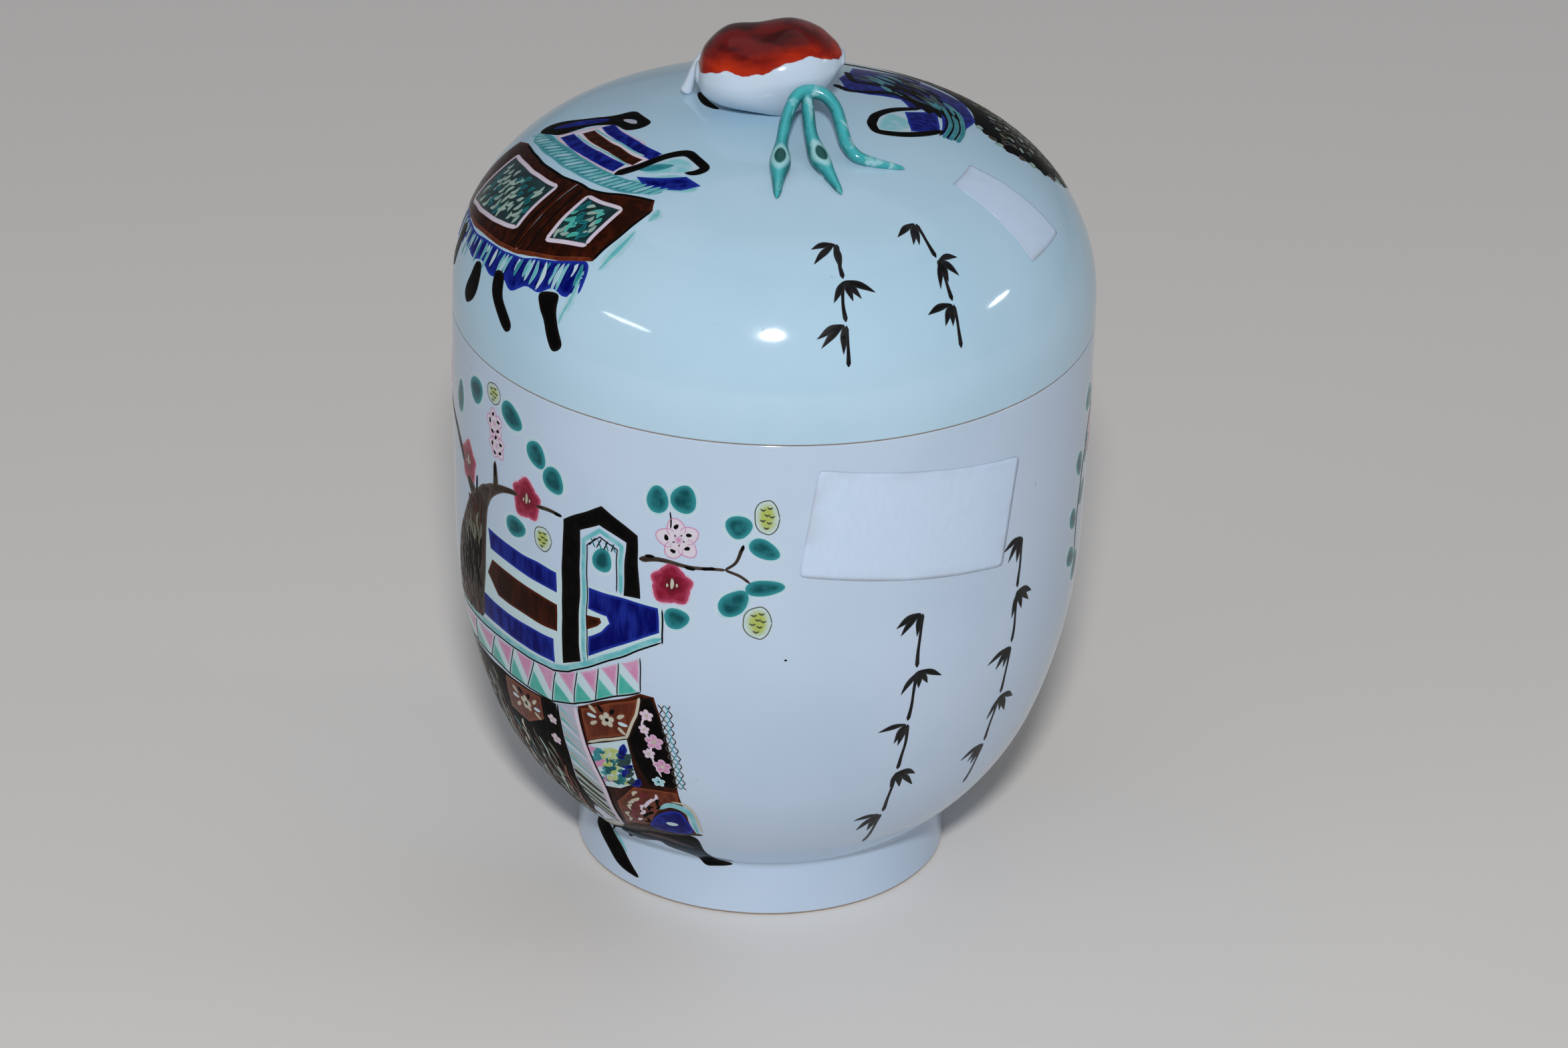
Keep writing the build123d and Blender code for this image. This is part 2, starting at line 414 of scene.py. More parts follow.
def stem_enamel():
    """Turquoise, bare in patches and deeper where the stem's mark holds painted shade on its sides and
    underside, with a pale rim and a dark green spot on each bud.
    """
    nodes = Nodes("stem_turquoise")
    brushed = nodes.noise(200, 4)
    load = nodes.math("MULTIPLY", nodes.mark("shade"), nodes.level(brushed, 0.35, 0.6, 0.55, 1.0))
    colour = nodes.mix(load, (0.06, 0.46, 0.50), (0.0, 0.055, 0.06))
    patches = nodes.level(nodes.noise(240, 3), 0.54, 0.66, 0.0, 0.7)
    colour = nodes.mix(patches, colour, (0.42, 0.66, 0.72))
    spot = nodes.mark("spot")
    colour = nodes.mix(nodes.level(spot, 0.1, 0.36, 0.0, 0.8), colour, (0.36, 0.64, 0.68))
    colour = nodes.mix(nodes.level(spot, 0.45, 0.6), colour, (0.0, 0.07, 0.065))
    finish = nodes.level(nodes.noise(400, 2), 0.3, 0.7, 0.07, 0.14)
    return nodes.surface(Base_Color=colour, Roughness=finish, Normal=nodes.bump(brushed, 0.00008, 0.4))


def paper():
    """Smooth label paper with faint fibres and slightly soiled edges."""
    nodes = Nodes("label_paper_white")
    fibre = nodes.noise(900, 5, (1.0, 1.0, 0.4))
    clean = nodes.mix(nodes.level(fibre, 0.3, 0.7), (0.57, 0.70, 0.88), (0.55, 0.68, 0.86))
    soiled = nodes.math("MULTIPLY", nodes.mark("shade"), nodes.level(nodes.noise(120), 0.4, 0.65, 0.0, 0.5))
    colour = nodes.mix(soiled, clean, (0.42, 0.46, 0.52))
    return nodes.surface(Base_Color=colour, Roughness=0.45)


def floor_paint():
    """Plain pale floor, with a trace of unevenness."""
    nodes = Nodes("floor_pale")
    colour = nodes.mix(nodes.noise(3, 5), (0.80, 0.77, 0.74), (0.77, 0.74, 0.71))
    return nodes.surface(Base_Color=colour, Roughness=0.6)


upright = (1.0, 1.0, 0.22)
enamel("black", (0.010, 0.008, 0.007), (0.003, 0.003, 0.003), gloss=0.01)
enamel("ink", (0.030, 0.028, 0.030), (0.003, 0.003, 0.004), 0.3, gloss=0.15)
enamel("blue", (0.014, 0.035, 0.34), (0.001, 0.002, 0.105), 0.16, upright, 0.4, 0.04)
enamel("brown", (0.085, 0.014, 0.004), (0.017, 0.004, 0.002), 0.2, upright, 0.6, 0.04)
enamel("bark", (0.11, 0.085, 0.07), (0.026, 0.018, 0.014), 0.3, gloss=0.04)
enamel("aqua", (0.30, 0.56, 0.62), (0.10, 0.42, 0.46), 0.16, even=0.3)
enamel("teal", (0.08, 0.34, 0.40), (0.008, 0.19, 0.23), 0.16, even=0.4)
enamel("green", (0.03, 0.27, 0.30), (0.001, 0.066, 0.080), 0.16, gloss=0.12)
enamel("pine", (0.008, 0.070, 0.075), (0.002, 0.020, 0.022))
enamel("halo", (0.54, 0.65, 0.75), (0.22, 0.54, 0.60), 0.12, even=0.4, gloss=0.5)
enamel("celadon", (0.16, 0.27, 0.24), (0.36, 0.48, 0.42), 0.18, even=0.4)
enamel("mint", (0.14, 0.50, 0.45), (0.035, 0.37, 0.31), 0.16)
enamel("pink", (0.56, 0.42, 0.56), (0.54, 0.22, 0.40))
enamel("blush", (0.58, 0.40, 0.52), (0.64, 0.60, 0.69), 0.16, even=0.8)
enamel("rose", (0.46, 0.07, 0.15), (0.22, 0.004, 0.026), even=0.75, gloss=0.15)
enamel("maroon", (0.22, 0.004, 0.026), (0.08, 0.002, 0.010), gloss=0.15)
enamel("rust", (0.20, 0.045, 0.016), (0.085, 0.014, 0.005), 0.2, upright, 0.4, 0.1)
enamel("yellow", (0.48, 0.60, 0.56), (0.38, 0.46, 0.10), 0.18)
enamel("olive", (0.16, 0.18, 0.09), (0.05, 0.06, 0.025))
enamel("cream", (0.40, 0.36, 0.27), (0.52, 0.50, 0.42), 0.25)
enamel("pale", (0.48, 0.62, 0.70), (0.50, 0.66, 0.71), 0.14)
enamel("lilac", (0.36, 0.40, 0.50), (0.44, 0.42, 0.53), 0.18, even=0.3)
enamel("root", (0.56, 0.66, 0.78), (0.62, 0.70, 0.80), 0.1, gloss=0.5)
enamel_slots = dict.fromkeys(("aqua", "teal", "green", "pine", "halo", "mint"), "turquoise_enamel")
enamel_slots.update(dict.fromkeys(("brown", "rose", "maroon", "rust"), "red_enamel"))


# Jar and lid


def make_jar(material):
    inner_foot = foot_radius - foot_width
    recess = (inner_foot - foot_draft, recess_depth)
    side = jar_side()
    inside = (side + jar_wall * left_of(headings(side)))[::-1]
    inside[0] = (rim_radius - jar_wall, jar_height)
    heel, slope = inside[-1], inside[-1] - inside[-2]
    corner = heel + slope * (floor_z - heel[1]) / slope[1]
    profile = soften([
        [(0, recess_depth), recess],
        [recess, (inner_foot, 0)],
        [(inner_foot, 0), (foot_radius, 0)],
        [(foot_radius, 0), neck],
        side,
        [(rim_radius, jar_height), (rim_radius - jar_wall, jar_height)],
        np.concatenate([inside, [corner]]),
        [corner, (0, floor_z)],
    ], [1.2, 0.8, 0.8, neck_round, 0.5, 0.5, np.linalg.norm(corner - heel)])
    r, z = profile.T
    resting = (z < resting_rise) & (r > inner_foot - 1)
    seat = (z > jar_height - seat_rise) & (r < rim_radius - seat_inset)
    pool = np.clip(1 - np.hypot(r - neck[0], z - neck[1]) / foot_pool, 0, 1) * 0.9
    make_turned("jar_glaze", profile, {"bare": resting | seat, "pool": pool}, material, "jar", "jar_body")


def make_lid(material):
    corners = [
        (rim_radius, jar_height),
        (flange_outer, jar_height),
        (flange_outer, flange_bottom),
        (flange_inner, flange_bottom),
        (flange_inner, web_top),
        (rim_radius - lid_wall, web_top),
    ]
    runs = [lid_side()[::-1], *zip(corners, corners[1:]), lid_side(lid_wall, web_top)]
    profile = soften(runs, [0.5, 0.3, 0.8, 0.8, 0.6, 0.5])
    r, z = profile.T
    seat = (z < jar_height + seat_rise) & (r < rim_radius - seat_inset) & (r > flange_outer - 0.2)
    pool = np.clip(1 - np.abs(z - web_top) / lid_pool, 0, 1) * (r < rim_radius - 2)
    make_turned("lid_glaze", profile, {"bare": seat, "pool": pool}, material, "lid", "lid_shell")


make_jar(glaze("glaze_jar", (0.51, 0.62, 0.77), (0.46, 0.58, 0.73)))
make_lid(glaze("glaze_lid", (0.46, 0.65, 0.79), (0.41, 0.61, 0.75)))
jar_chart = Chart(soften([[(foot_radius, 0), neck], jar_side()], [neck_round]), jar_run)
lid_chart = Chart(lid_side(), run_lengths(lid_side())[-1])


# Knob and stems

# Knob: upright ellipses across its length, as place along X, lowest and highest point over the lid's top,
# and half the depth from front to back, the same as in its solid
cap_stations = [
    (-17.5, 5.0, 9.4, 3.6),
    (-16.0, 2.5, 13.1, 7.6),
    (-11.6, 0.2, 16.9, 10.6),
    (-5.0, -0.9, 17.6, 12.0),
    (2.0, -0.9, 19.4, 12.0),
    (7.6, 3.0, 17.6, 10.4),
    (11.2, 7.4, 14.8, 7.0),
    (13.2, 10.2, 12.8, 3.4),
]
# Where the red paint ends on the knob, as places along X and heights over the lid's top
paint_edge = (
    (-18.5, -16.5, -11.4, -7.7, -3.4, 1.2, 6.3, 13.5),
    (9.6, 9.9, 11.3, 10.6, 11.4, 13.8, 15.0, 13.0),
)

# Root and stems: centre line as X, Y and height over the lid's surface, then the radius, as in their solids
root_stations = [
    (-20.4, 9.0, 0.2, 1.5),
    (-19.3, 8.7, 3.0, 1.15),
    (-18.3, 8.2, 6.0, 1.0),
    (-16.8, 7.4, 8.8, 0.95),
    (-13.5, 6.2, 10.8, 0.95),
]
left_leg_stations = [
    (0.0, -37.4, 0.3, 0.6),
    (0.2, -31.6, 0.8, 1.5),
    (0.5, -27.2, 1.6, 2.3),
    (0.7, -22.6, 3.0, 1.35),
    (1.4, -18.4, 5.0, 1.35),
]
crown_stations = [
    (2.6, -14.8, 7.2, 1.4),
    (4.2, -13.0, 8.8, 1.5),
    (6.8, -12.2, 9.3, 1.55),
    (9.6, -12.6, 8.8, 1.5),
    (11.8, -14.2, 7.2, 1.4),
]
right_leg_stations = [
    (13.2, -17.4, 5.0, 1.4),
    (14.4, -20.6, 2.8, 1.4),
    (16.8, -22.6, 1.3, 1.4),
    (21.0, -22.8, 0.7, 1.05),
    (27.0, -22.0, 0.3, 0.5),
]
middle_leg_stations = [
    (5.9, -12.4, 9.1, 1.25),
    (6.2, -16.4, 6.4, 1.35),
    (7.0, -20.8, 3.6, 1.45),
    (8.8, -25.4, 1.6, 2.2),
    (11.0, -29.6, 0.8, 1.4),
    (13.6, -34.6, 0.3, 0.6),
]

bud_reach = 3.0  # reach of the spot on a bud
cap_steps = 9  # steps between two stations of the knob
span_steps = 12  # steps between two stations of a stem
tip_rings = 4  # rings that draw in a tip
cap_sides = 72
stem_sides = 28
stem_crease = 50  # angle over which a stem's edges are sharp


def make_cap(material):
    """The plump fungus head: a smooth skin over its stations, rounded at both ends and slightly lobed."""
    x, low, high, depth = curve(cap_stations, cap_steps).T
    skin = np.stack([x, (low + high) / 2, (high - low) / 2, depth], 1)
    ends = np.linspace(0, 1, 6)[1:, None]
    swell = np.sqrt(1 - ends ** 2) + 0.001
    left, right = (
        np.hstack([row[0] + reach * ends, row[1] + 0 * ends, row[2:] * swell])
        for row, reach in ((skin[0], -0.9), (skin[-1], 0.7))
    )
    skin = np.concatenate([left[::-1], skin, right])
    angle = np.arange(cap_sides) * 2 * pi / cap_sides
    x, middle, half, depth = np.hsplit(skin, 4)
    lobes = 1 + 0.018 * np.sin(3 * angle + x / 5) + 0.012 * np.sin(5 * angle - x / 3)
    y, z = depth * lobes * np.cos(angle), middle + half * lobes * np.sin(angle)
    edge = np.interp(x, *paint_edge) + 0.5 * np.sin(y / 2.6)
    marks = {"shade": np.clip(0.5 + (z - edge) / 14, 0, 1)}
    points = np.stack([x + 0 * angle, y, z + lid_top], -1)
    faces = tube_faces(len(skin), cap_sides)
    make_piece("knob_head", points, faces, material, "lid", marks, ["knob_cap"])


def over_lid(stations):
    """A smooth line through stations whose heights are taken from the lid's outside."""
    rows = []
    for x, y, over, radius in stations:
        surface = np.interp(-hypot(x, y), -lid_chart.r, lid_chart.z)
        rows.append((x, y, surface + over, radius))
    return curve(rows, span_steps)


def make_tube(name, rows, material, node, tips, bud=None):
    """A luted stem with painted shade, lighter on its top and darker on its sides and underside, marked round
    the spot on its bud, and drawn in at its free tips.
    """
    centre, radius = rows[:, :3], rows[:, 3].copy()
    from_start = np.arange(len(rows))
    for tip, place in zip(tips, (from_start, from_start[::-1])):
        if tip:
            radius *= np.sqrt(1 - np.clip(1 - place / tip_rings, 0, 0.98) ** 2)
    along = headings(centre)
    across = unit(np.cross(along, [0, 0, 1]))
    above = np.cross(across, along)
    angle = np.arange(stem_sides) * 2 * pi / stem_sides
    spread = across[:, None] * np.cos(angle)[:, None] + above[:, None] * np.sin(angle)[:, None]
    points = centre[:, None] + spread * radius[:, None, None]
    # Painted shade: the enamel is lighter where the stem faces up and darker on its sides and underside, set
    # by which way each face points
    shade = np.clip(0.35 - 0.3 * spread[..., 2] + 0.6 * np.abs(spread[..., 0]), 0, 1)
    spot = np.zeros_like(shade)
    if bud is not None:
        from_bud = np.linalg.norm(centre - rows[bud, :3], axis=1)[:, None] / bud_reach
        away = np.hypot(from_bud, np.cos(angle) * 1.4)
        spot = np.clip(1 - away / 1.6, 0, 1) * np.clip(np.sin(angle) * 3 + 1, 0, 1)
    marks = {"shade": shade, "spot": spot}
    faces = tube_faces(len(rows), stem_sides)
    make_piece(name, points, faces, material, "lid", marks, [node], stem_crease)


make_cap(knob_enamel())
make_tube("root_prop", over_lid(root_stations), enamels["root"], "knob_root", (1, 1))
turquoise = stem_enamel()
stalk = over_lid(left_leg_stations + crown_stations + right_leg_stations)
left_end, right_end = 5 * span_steps, 9 * span_steps
for name, rows, node, tips, bud in (
    ("stalk_left", stalk[:left_end + 1], "stem_left", (1, 0), 2 * span_steps),
    ("stalk_arch", stalk[left_end:right_end + 1], "stem_crown", (0, 0), None),
    ("stalk_right", stalk[right_end:], "stem_right", (0, 1), None),
    ("stalk_middle", over_lid(middle_leg_stations), "stem_middle", (1, 1), 3 * span_steps),
):
    make_tube(name, rows, turquoise, node, tips, bud)


# Labels

paper_thickness = 0.12
jar_label_drop = 21.8  # from the rim to the middle of the jar's label
lid_label_radius = 54.0  # from the axis to the middle of the lid's label
label_paper = paper()


def make_label(name, chart, az, run, size, turn, body, node):
    """Blank paper bent over a turned surface, with its corners a little loose."""
    across, up = 48, 28
    u, v = np.meshgrid(np.linspace(-1, 1, across), np.linspace(-1, 1, up))
    rounding = 1 - 0.02 * np.abs(u * v) ** 30
    x, y = u * size[0] / 2 * rounding, v * size[1] / 2 * rounding
    tilt = radians(turn)
    x, y = x * cos(tilt) - y * sin(tilt), x * sin(tilt) + y * cos(tilt)
    places = az + x / chart.mm_per_degree(run), run + y
    loose = 0.03 + 0.12 * np.abs(u * v) ** 8 + 0.02 * np.sin(u * 3 + v * 2) ** 2
    points = [chart.place(*places, loose + lift) for lift in (paper_thickness, 0)]
    index = np.arange(across * up).reshape(up, across)
    quads = np.stack([index[:-1, :-1], index[:-1, 1:], index[1:, 1:], index[1:, :-1]], -1).reshape(-1, 4)
    border = np.concatenate([index[0, :-1], index[:-1, -1], index[-1, :0:-1], index[:0:-1, 0]])
    ahead = np.roll(border, -1)
    hem = np.stack([border, border + index.size, ahead + index.size, ahead], 1)
    faces = np.concatenate([quads, quads[:, ::-1] + index.size, hem]).tolist()
    soil = np.maximum(np.abs(u), np.abs(v)) ** 12
    make_piece(name, points, faces, label_paper, body, {"shade": [soil, soil]}, [node])


lid_label_run = float(np.interp(-lid_label_radius, -lid_chart.r, lid_chart.run))
make_label("jar_paper", jar_chart, 27.3, jar_run - jar_label_drop, (50.0, 25.4), -8.0, "jar", "jar_label")
make_label("lid_paper", lid_chart, 65.8, lid_label_run, (13.0, 24.0), 3.0, "lid", "lid_label")


# Painting


def inside_outline(points, outline):
    """Which points lie inside a closed outline."""
    x, y = points[:, 0:1], points[:, 1:2]
    x0, y0 = outline.T
    x1, y1 = np.roll(outline, -1, axis=0).T
    crosses = (y0 > y) != (y1 > y)
    rise = np.where(y1 == y0, 1e-9, y1 - y0)
    return np.sum(crosses & (x < (x1 - x0) * (y - y0) / rise + x0), axis=1) % 2 == 1


def edge_distance(points, outline):
    """Distance of each point from a closed outline."""
    ends = np.roll(outline, -1, axis=0) - outline
    away = points[:, None] - outline
    share = np.clip(np.sum(away * ends, 2) / np.maximum(np.sum(ends ** 2, 1), 1e-12), 0, 1)
    return np.min(np.linalg.norm(away - share[..., None] * ends, axis=2), axis=1)


def keeps_off(points, outline, distance):
    """The points inside a closed outline that are further than a distance from it."""
    return points[inside_outline(points, outline) & (edge_distance(points, outline) > distance)]


def inset(outline, distance):
    """The closed outline's points, moved inwards."""
    ahead, behind = np.roll(outline, -1, axis=0), np.roll(outline, 1, axis=0)
    inwards = np.sign(np.sum(outline[:, 0] * ahead[:, 1] - ahead[:, 0] * outline[:, 1]))
    return outline + inwards * distance * left_of(unit(ahead - behind))


def divided(outline):
    """The closed outline with points about an outline step apart, or less."""
    points = []
    for start, end in zip(outline, np.roll(outline, -1, axis=0)):
        count = max(1, int(round(np.linalg.norm(end - start) / outline_step)))
        points.append(start + (end - start) * np.arange(count)[:, None] / count)
    return np.concatenate(points)


def strayed(points):
    """The points moved a little, all shapes together, as a hand strays from a straight line."""
    places = [Vector((x / wobble_length, y / wobble_length, wobble_slice)) for x, y in points]
    return points + wobble * np.array([noise.noise_vector(place) for place in places])[:, :2]


def along_edge(points, share):
    """The place at a share of the way along a line of places."""
    along = run_lengths(points)
    return sampled(share * along[-1], along, np.array(points))


def between(start, end, share):
    """The place at a share of the way from one place to another."""
    return np.array(start) * (1 - share) + np.array(end) * share


def inside_cell(corners, across, up):
    """The place inside a four-cornered cell, whose corners run from its lower left to the right and round."""
    a, b, c, d = corners
    return between(between(a, b, across), between(d, c, across), up)


class Painter:
    """Lays enamel on a turned surface, and gathers it into one piece for each colour."""

    def __init__(self, body, chart):
        self.body = body
        self.chart = chart
        self.shift = 0.0
        self.coats = {}

    def unrolled(self, places):
        """Places in millimetres on the flattened surface, and its millimetres per degree."""
        places = np.asarray(places, float)
        scale = float(self.chart.mm_per_degree(places[:, 1].mean()))
        return places * [scale, 1], scale

    def lay(self, colour, flat, lift, shade, faces, scale):
        """Adds one pad, from flat places in millimetres."""
        points, all_faces, shades = self.coats.setdefault(colour, ([], [], []))
        first = sum(map(len, points))
        points.append(self.chart.place(flat[:, 0] / scale + self.shift, flat[:, 1], lift))
        shades.append(shade)
        all_faces.extend(tuple(first + i for i in face) for face in faces)

    def fill(self, colour, outline, level=0, curved=False, reach=usual_reach):
        """A closed shape, whose shade runs from 0 at its edge to 1 at its reach inside."""
        flat, scale = self.unrolled(outline)
        if curved:
            flat = curve(flat, outline_curve, closed=True)
        flat = strayed(divided(flat))
        columns, lines = (np.arange(*ends, grid_pitch) for ends in zip(flat.min(0), flat.max(0)))
        x, y = np.meshgrid(columns, lines)
        x = x + grid_pitch / 2 * (np.arange(len(x)) % 2)[:, None]
        grid = np.stack([x.ravel(), y.ravel()], 1)
        inner = [keeps_off(grid, flat, min(reach, usual_reach) + grid_margin)] if len(grid) else []
        for depth in (reach, reach / 2):
            inner.append(keeps_off(inset(flat, depth), flat, depth * 0.9))
        if not sum(map(len, inner)):
            inner = [flat.mean(0)[None]]
        places = [Vector(place) for place in np.concatenate([flat] + inner)]
        found, _, triangles, _, _, _ = delaunay_2d_cdt(places, [], [list(range(len(flat)))], 1, 1e-5)
        found = np.array(found)
        count = len(found)
        edges = {edge for a, b, c in triangles for edge in ((a, b), (b, c), (c, a))}
        faces = list(triangles)
        faces += [(c + count, b + count, a + count) for a, b, c in triangles]
        faces += [(b, a, a + count, b + count) for a, b in sorted(edges) if (b, a) not in edges]
        shade = np.clip(edge_distance(found, flat) / reach, 0, 1)
        top = coat_edge + level * coat_step + coat * shade
        lift = np.append(top, np.full(count, bed))
        self.lay(colour, np.tile(found, (2, 1)), lift, np.tile(shade, 2), faces, scale)

    def line(self, colour, path, widths, level=1, curved=True, shade=None):
        """A brush stroke along a path, with a rounded back and drawn-out ends."""
        flat, scale = self.unrolled(path)
        rows = np.column_stack([flat, np.broadcast_to(widths, len(flat))])
        spans = len(rows) - 1
        steps = max(5, int(run_lengths(flat)[-1] / spans / outline_step))
        if curved:
            rows = curve(rows, steps)
        else:
            rows = sampled(np.linspace(0, spans, steps * spans + 1), np.arange(spans + 1), rows)
        centre, half = strayed(rows[:, :2]), rows[:, 2:] / 2
        to_end = np.minimum(run_lengths(centre), run_lengths(centre[::-1])[::-1])[:, None]
        half = half * np.sqrt(np.clip(to_end / np.maximum(half * 1.4, 0.05), 0.06, 1))
        flat = centre[:, None] + left_of(headings(centre))[:, None] * (half * stroke_sides)[..., None]
        lift = np.where(stroke_rise < 0, bed, coat_edge + level * coat_step + coat * stroke_rise)
        shades = 1 - stroke_sides ** 4 if shade is None else np.full(len(lift), shade)
        lift, shades = np.tile(lift, len(centre)), np.tile(shades, len(centre))
        faces = tube_faces(len(centre), len(stroke_sides))
        self.lay(colour, flat.reshape(-1, 2), lift, shades, faces, scale)

    def about(self, az, run, x, y=0.0, angle=0.0):
        """The place at x and y from another, in millimetres, on axes turned by an angle."""
        c, s = cos(radians(angle)), sin(radians(angle))
        return az + (x * c - y * s) / float(self.chart.mm_per_degree(run)), run + x * s + y * c

    def ring(self, at, width, height, angle=0.0, lobes=0, depth=0.0, count=14):
        """Places round an oval or lobed outline."""
        turn = np.arange(count) * 2 * pi / count
        swell = (1 + depth * np.cos(lobes * turn)) / 2
        x, y = width * swell * np.cos(turn), height * swell * np.sin(turn)
        return [self.about(*at, a, b, angle) for a, b in zip(x, y)]

    def oval(self, colour, at, width, height, angle, level, reach=usual_reach, lobes=0, depth=0.0, count=14):
        """A filled oval or lobed outline."""
        self.fill(colour, self.ring(at, width, height, angle, lobes, depth, count), level, True, reach)

    def dab(self, colour, at, width, height, angle=0, level=1, reach=0.5):
        """A small oval, a little uneven."""
        self.oval(colour, at, width, height, angle, level, reach, 3, 0.06, 10)

    def band(self, colour, path, width):
        """A stripe with square ends, that runs mostly sideways."""
        up = [0, width / 2]
        self.fill(colour, np.concatenate([np.add(path, up), np.subtract(path, up)[::-1]]), 1, reach=0.5)

    def finish(self):
        for colour, (points, faces, shades) in sorted(self.coats.items()):
            name = f"{self.body}_enamel_{colour}"
            marks = {"shade": np.concatenate(shades)}
            points = np.concatenate(points)
            make_piece(name, points, faces, enamels[colour], self.body, marks, crease=coat_crease)


# Motifs, each laid by a painter p at azimuths and runs


def leaf(p, az, run, length, width, angle):
    """A plump leaf: a thin turquoise wash under a green pad that deepens inwards."""
    p.oval("halo", (az, run), length * 1.36, width * 1.44, angle, 0, 1.6)
    p.oval("green", (az, run), length * 1.06, width * 1.1, angle, 1, 1.4, 3, 0.05)


def red_blossom(p, az, run, size):
    """A full prunus flower: broad crimson petals with pale rims, a dark throat and a cream middle."""
    for i, growth in enumerate((1, 0.94, 1.06, 0.98, 0.92)):
        angle, grown = 90 + 72 * i, size * growth
        at = p.about(az, run, grown * 0.26, 0, angle)
        p.oval("blush", at, grown * 0.52, grown * 0.56, angle, 0, usual_reach, 3, 0.05)
        p.oval("rose", at, grown * 0.46, grown * 0.52, angle, 1, 1, 4, 0.10)
    p.oval("maroon", (az, run), size * 0.5, size * 0.5, 54, 2, 1.5, 5, 0.1, 20)
    for x, y, width, height in ((0, 0.02, 0.08, 0.26), (-0.1, -0.04, 0.05, 0.09), (0.1, 0, 0.05, 0.09)):
        p.dab("cream", p.about(az, run, size * x, size * y), size * width, size * height, 0, 3, 0.3)


def pale_blossom(p, az, run, size):
    """A prunus flower: five white petals outlined in pink, with dark stamens and a pink heart."""
    for i in range(5):
        angle = 30 + 72 * i
        at = p.about(az, run, size * 0.28, 0, angle)
        petal = p.ring(at, size * 0.44, size * 0.42, angle, 3, 0.06)
        p.fill("blush", petal, 1, True, 0.4)
        p.line("pink", petal[-5:] + petal[:6], 0.22, 2)
        anther = p.about(*at, size * 0.03 * (i % 2), 0, angle)
        p.dab("black", anther, 0.6 + size * 0.08, 0.4 + size * 0.05, 50 * i, 3, 0.3)
        if size > 8:
            stamen = p.about(az, run, size * 0.13, 0, angle + 30)
            p.dab("bark", stamen, size * 0.05, size * 0.04, angle, 3, 0.2)
    p.dab("pink", (az, run), size * 0.14, size * 0.14, 0, 2)


def bud(p, az, run, width, height):
    """A yellow-green bud in a pale husk with a thin outline and scalloped scales."""
    husk = p.ring((az, run), width, height, 0, 5, 0.03)
    p.fill("pale", husk, 0, True)
    p.line("olive", husk + husk[:1], 0.26)
    p.oval("yellow", (az, run), width * 0.86, height * 0.88, 0, 1, 1.2)
    scales = (-0.16, 0.2), (0.12, 0.26), (0, 0.06), (0.2, 0.02), (-0.18, -0.1), (0.08, -0.16), (-0.04, -0.32)
    for x, y in scales:
        scallop = [p.about(az, run, width * (x + k), height * (y + 3 * k * k)) for k in (-0.12, 0, 0.12)]
        p.line("olive", scallop, (0.2, 0.5, 0.2), 2)


def dabs(p, corners, count, colours, length, girth, lean, level):
    """Bowed brush dabs of several colours, scattered over a four-cornered panel."""
    for i in range(count):
        at = inside_cell(corners, *((0.5 + i * step) % 1 * 0.96 + 0.02 for step in dab_steps))
        angle = lean + 50 * (rng.random() - 0.5) * min(1, 4 / length)
        reach = length * (0.7 + 0.6 * rng.random())
        bow = min(reach, 3) * 0.7 * (rng.random() - 0.5)
        stroke = [p.about(*at, k * reach, bow * (1 - 4 * k * k), angle) for k in (-0.5, 0, 0.5)]
        p.line(colours[i % len(colours)], stroke, (girth * 0.5, girth, girth * 0.6), level + i % 2)


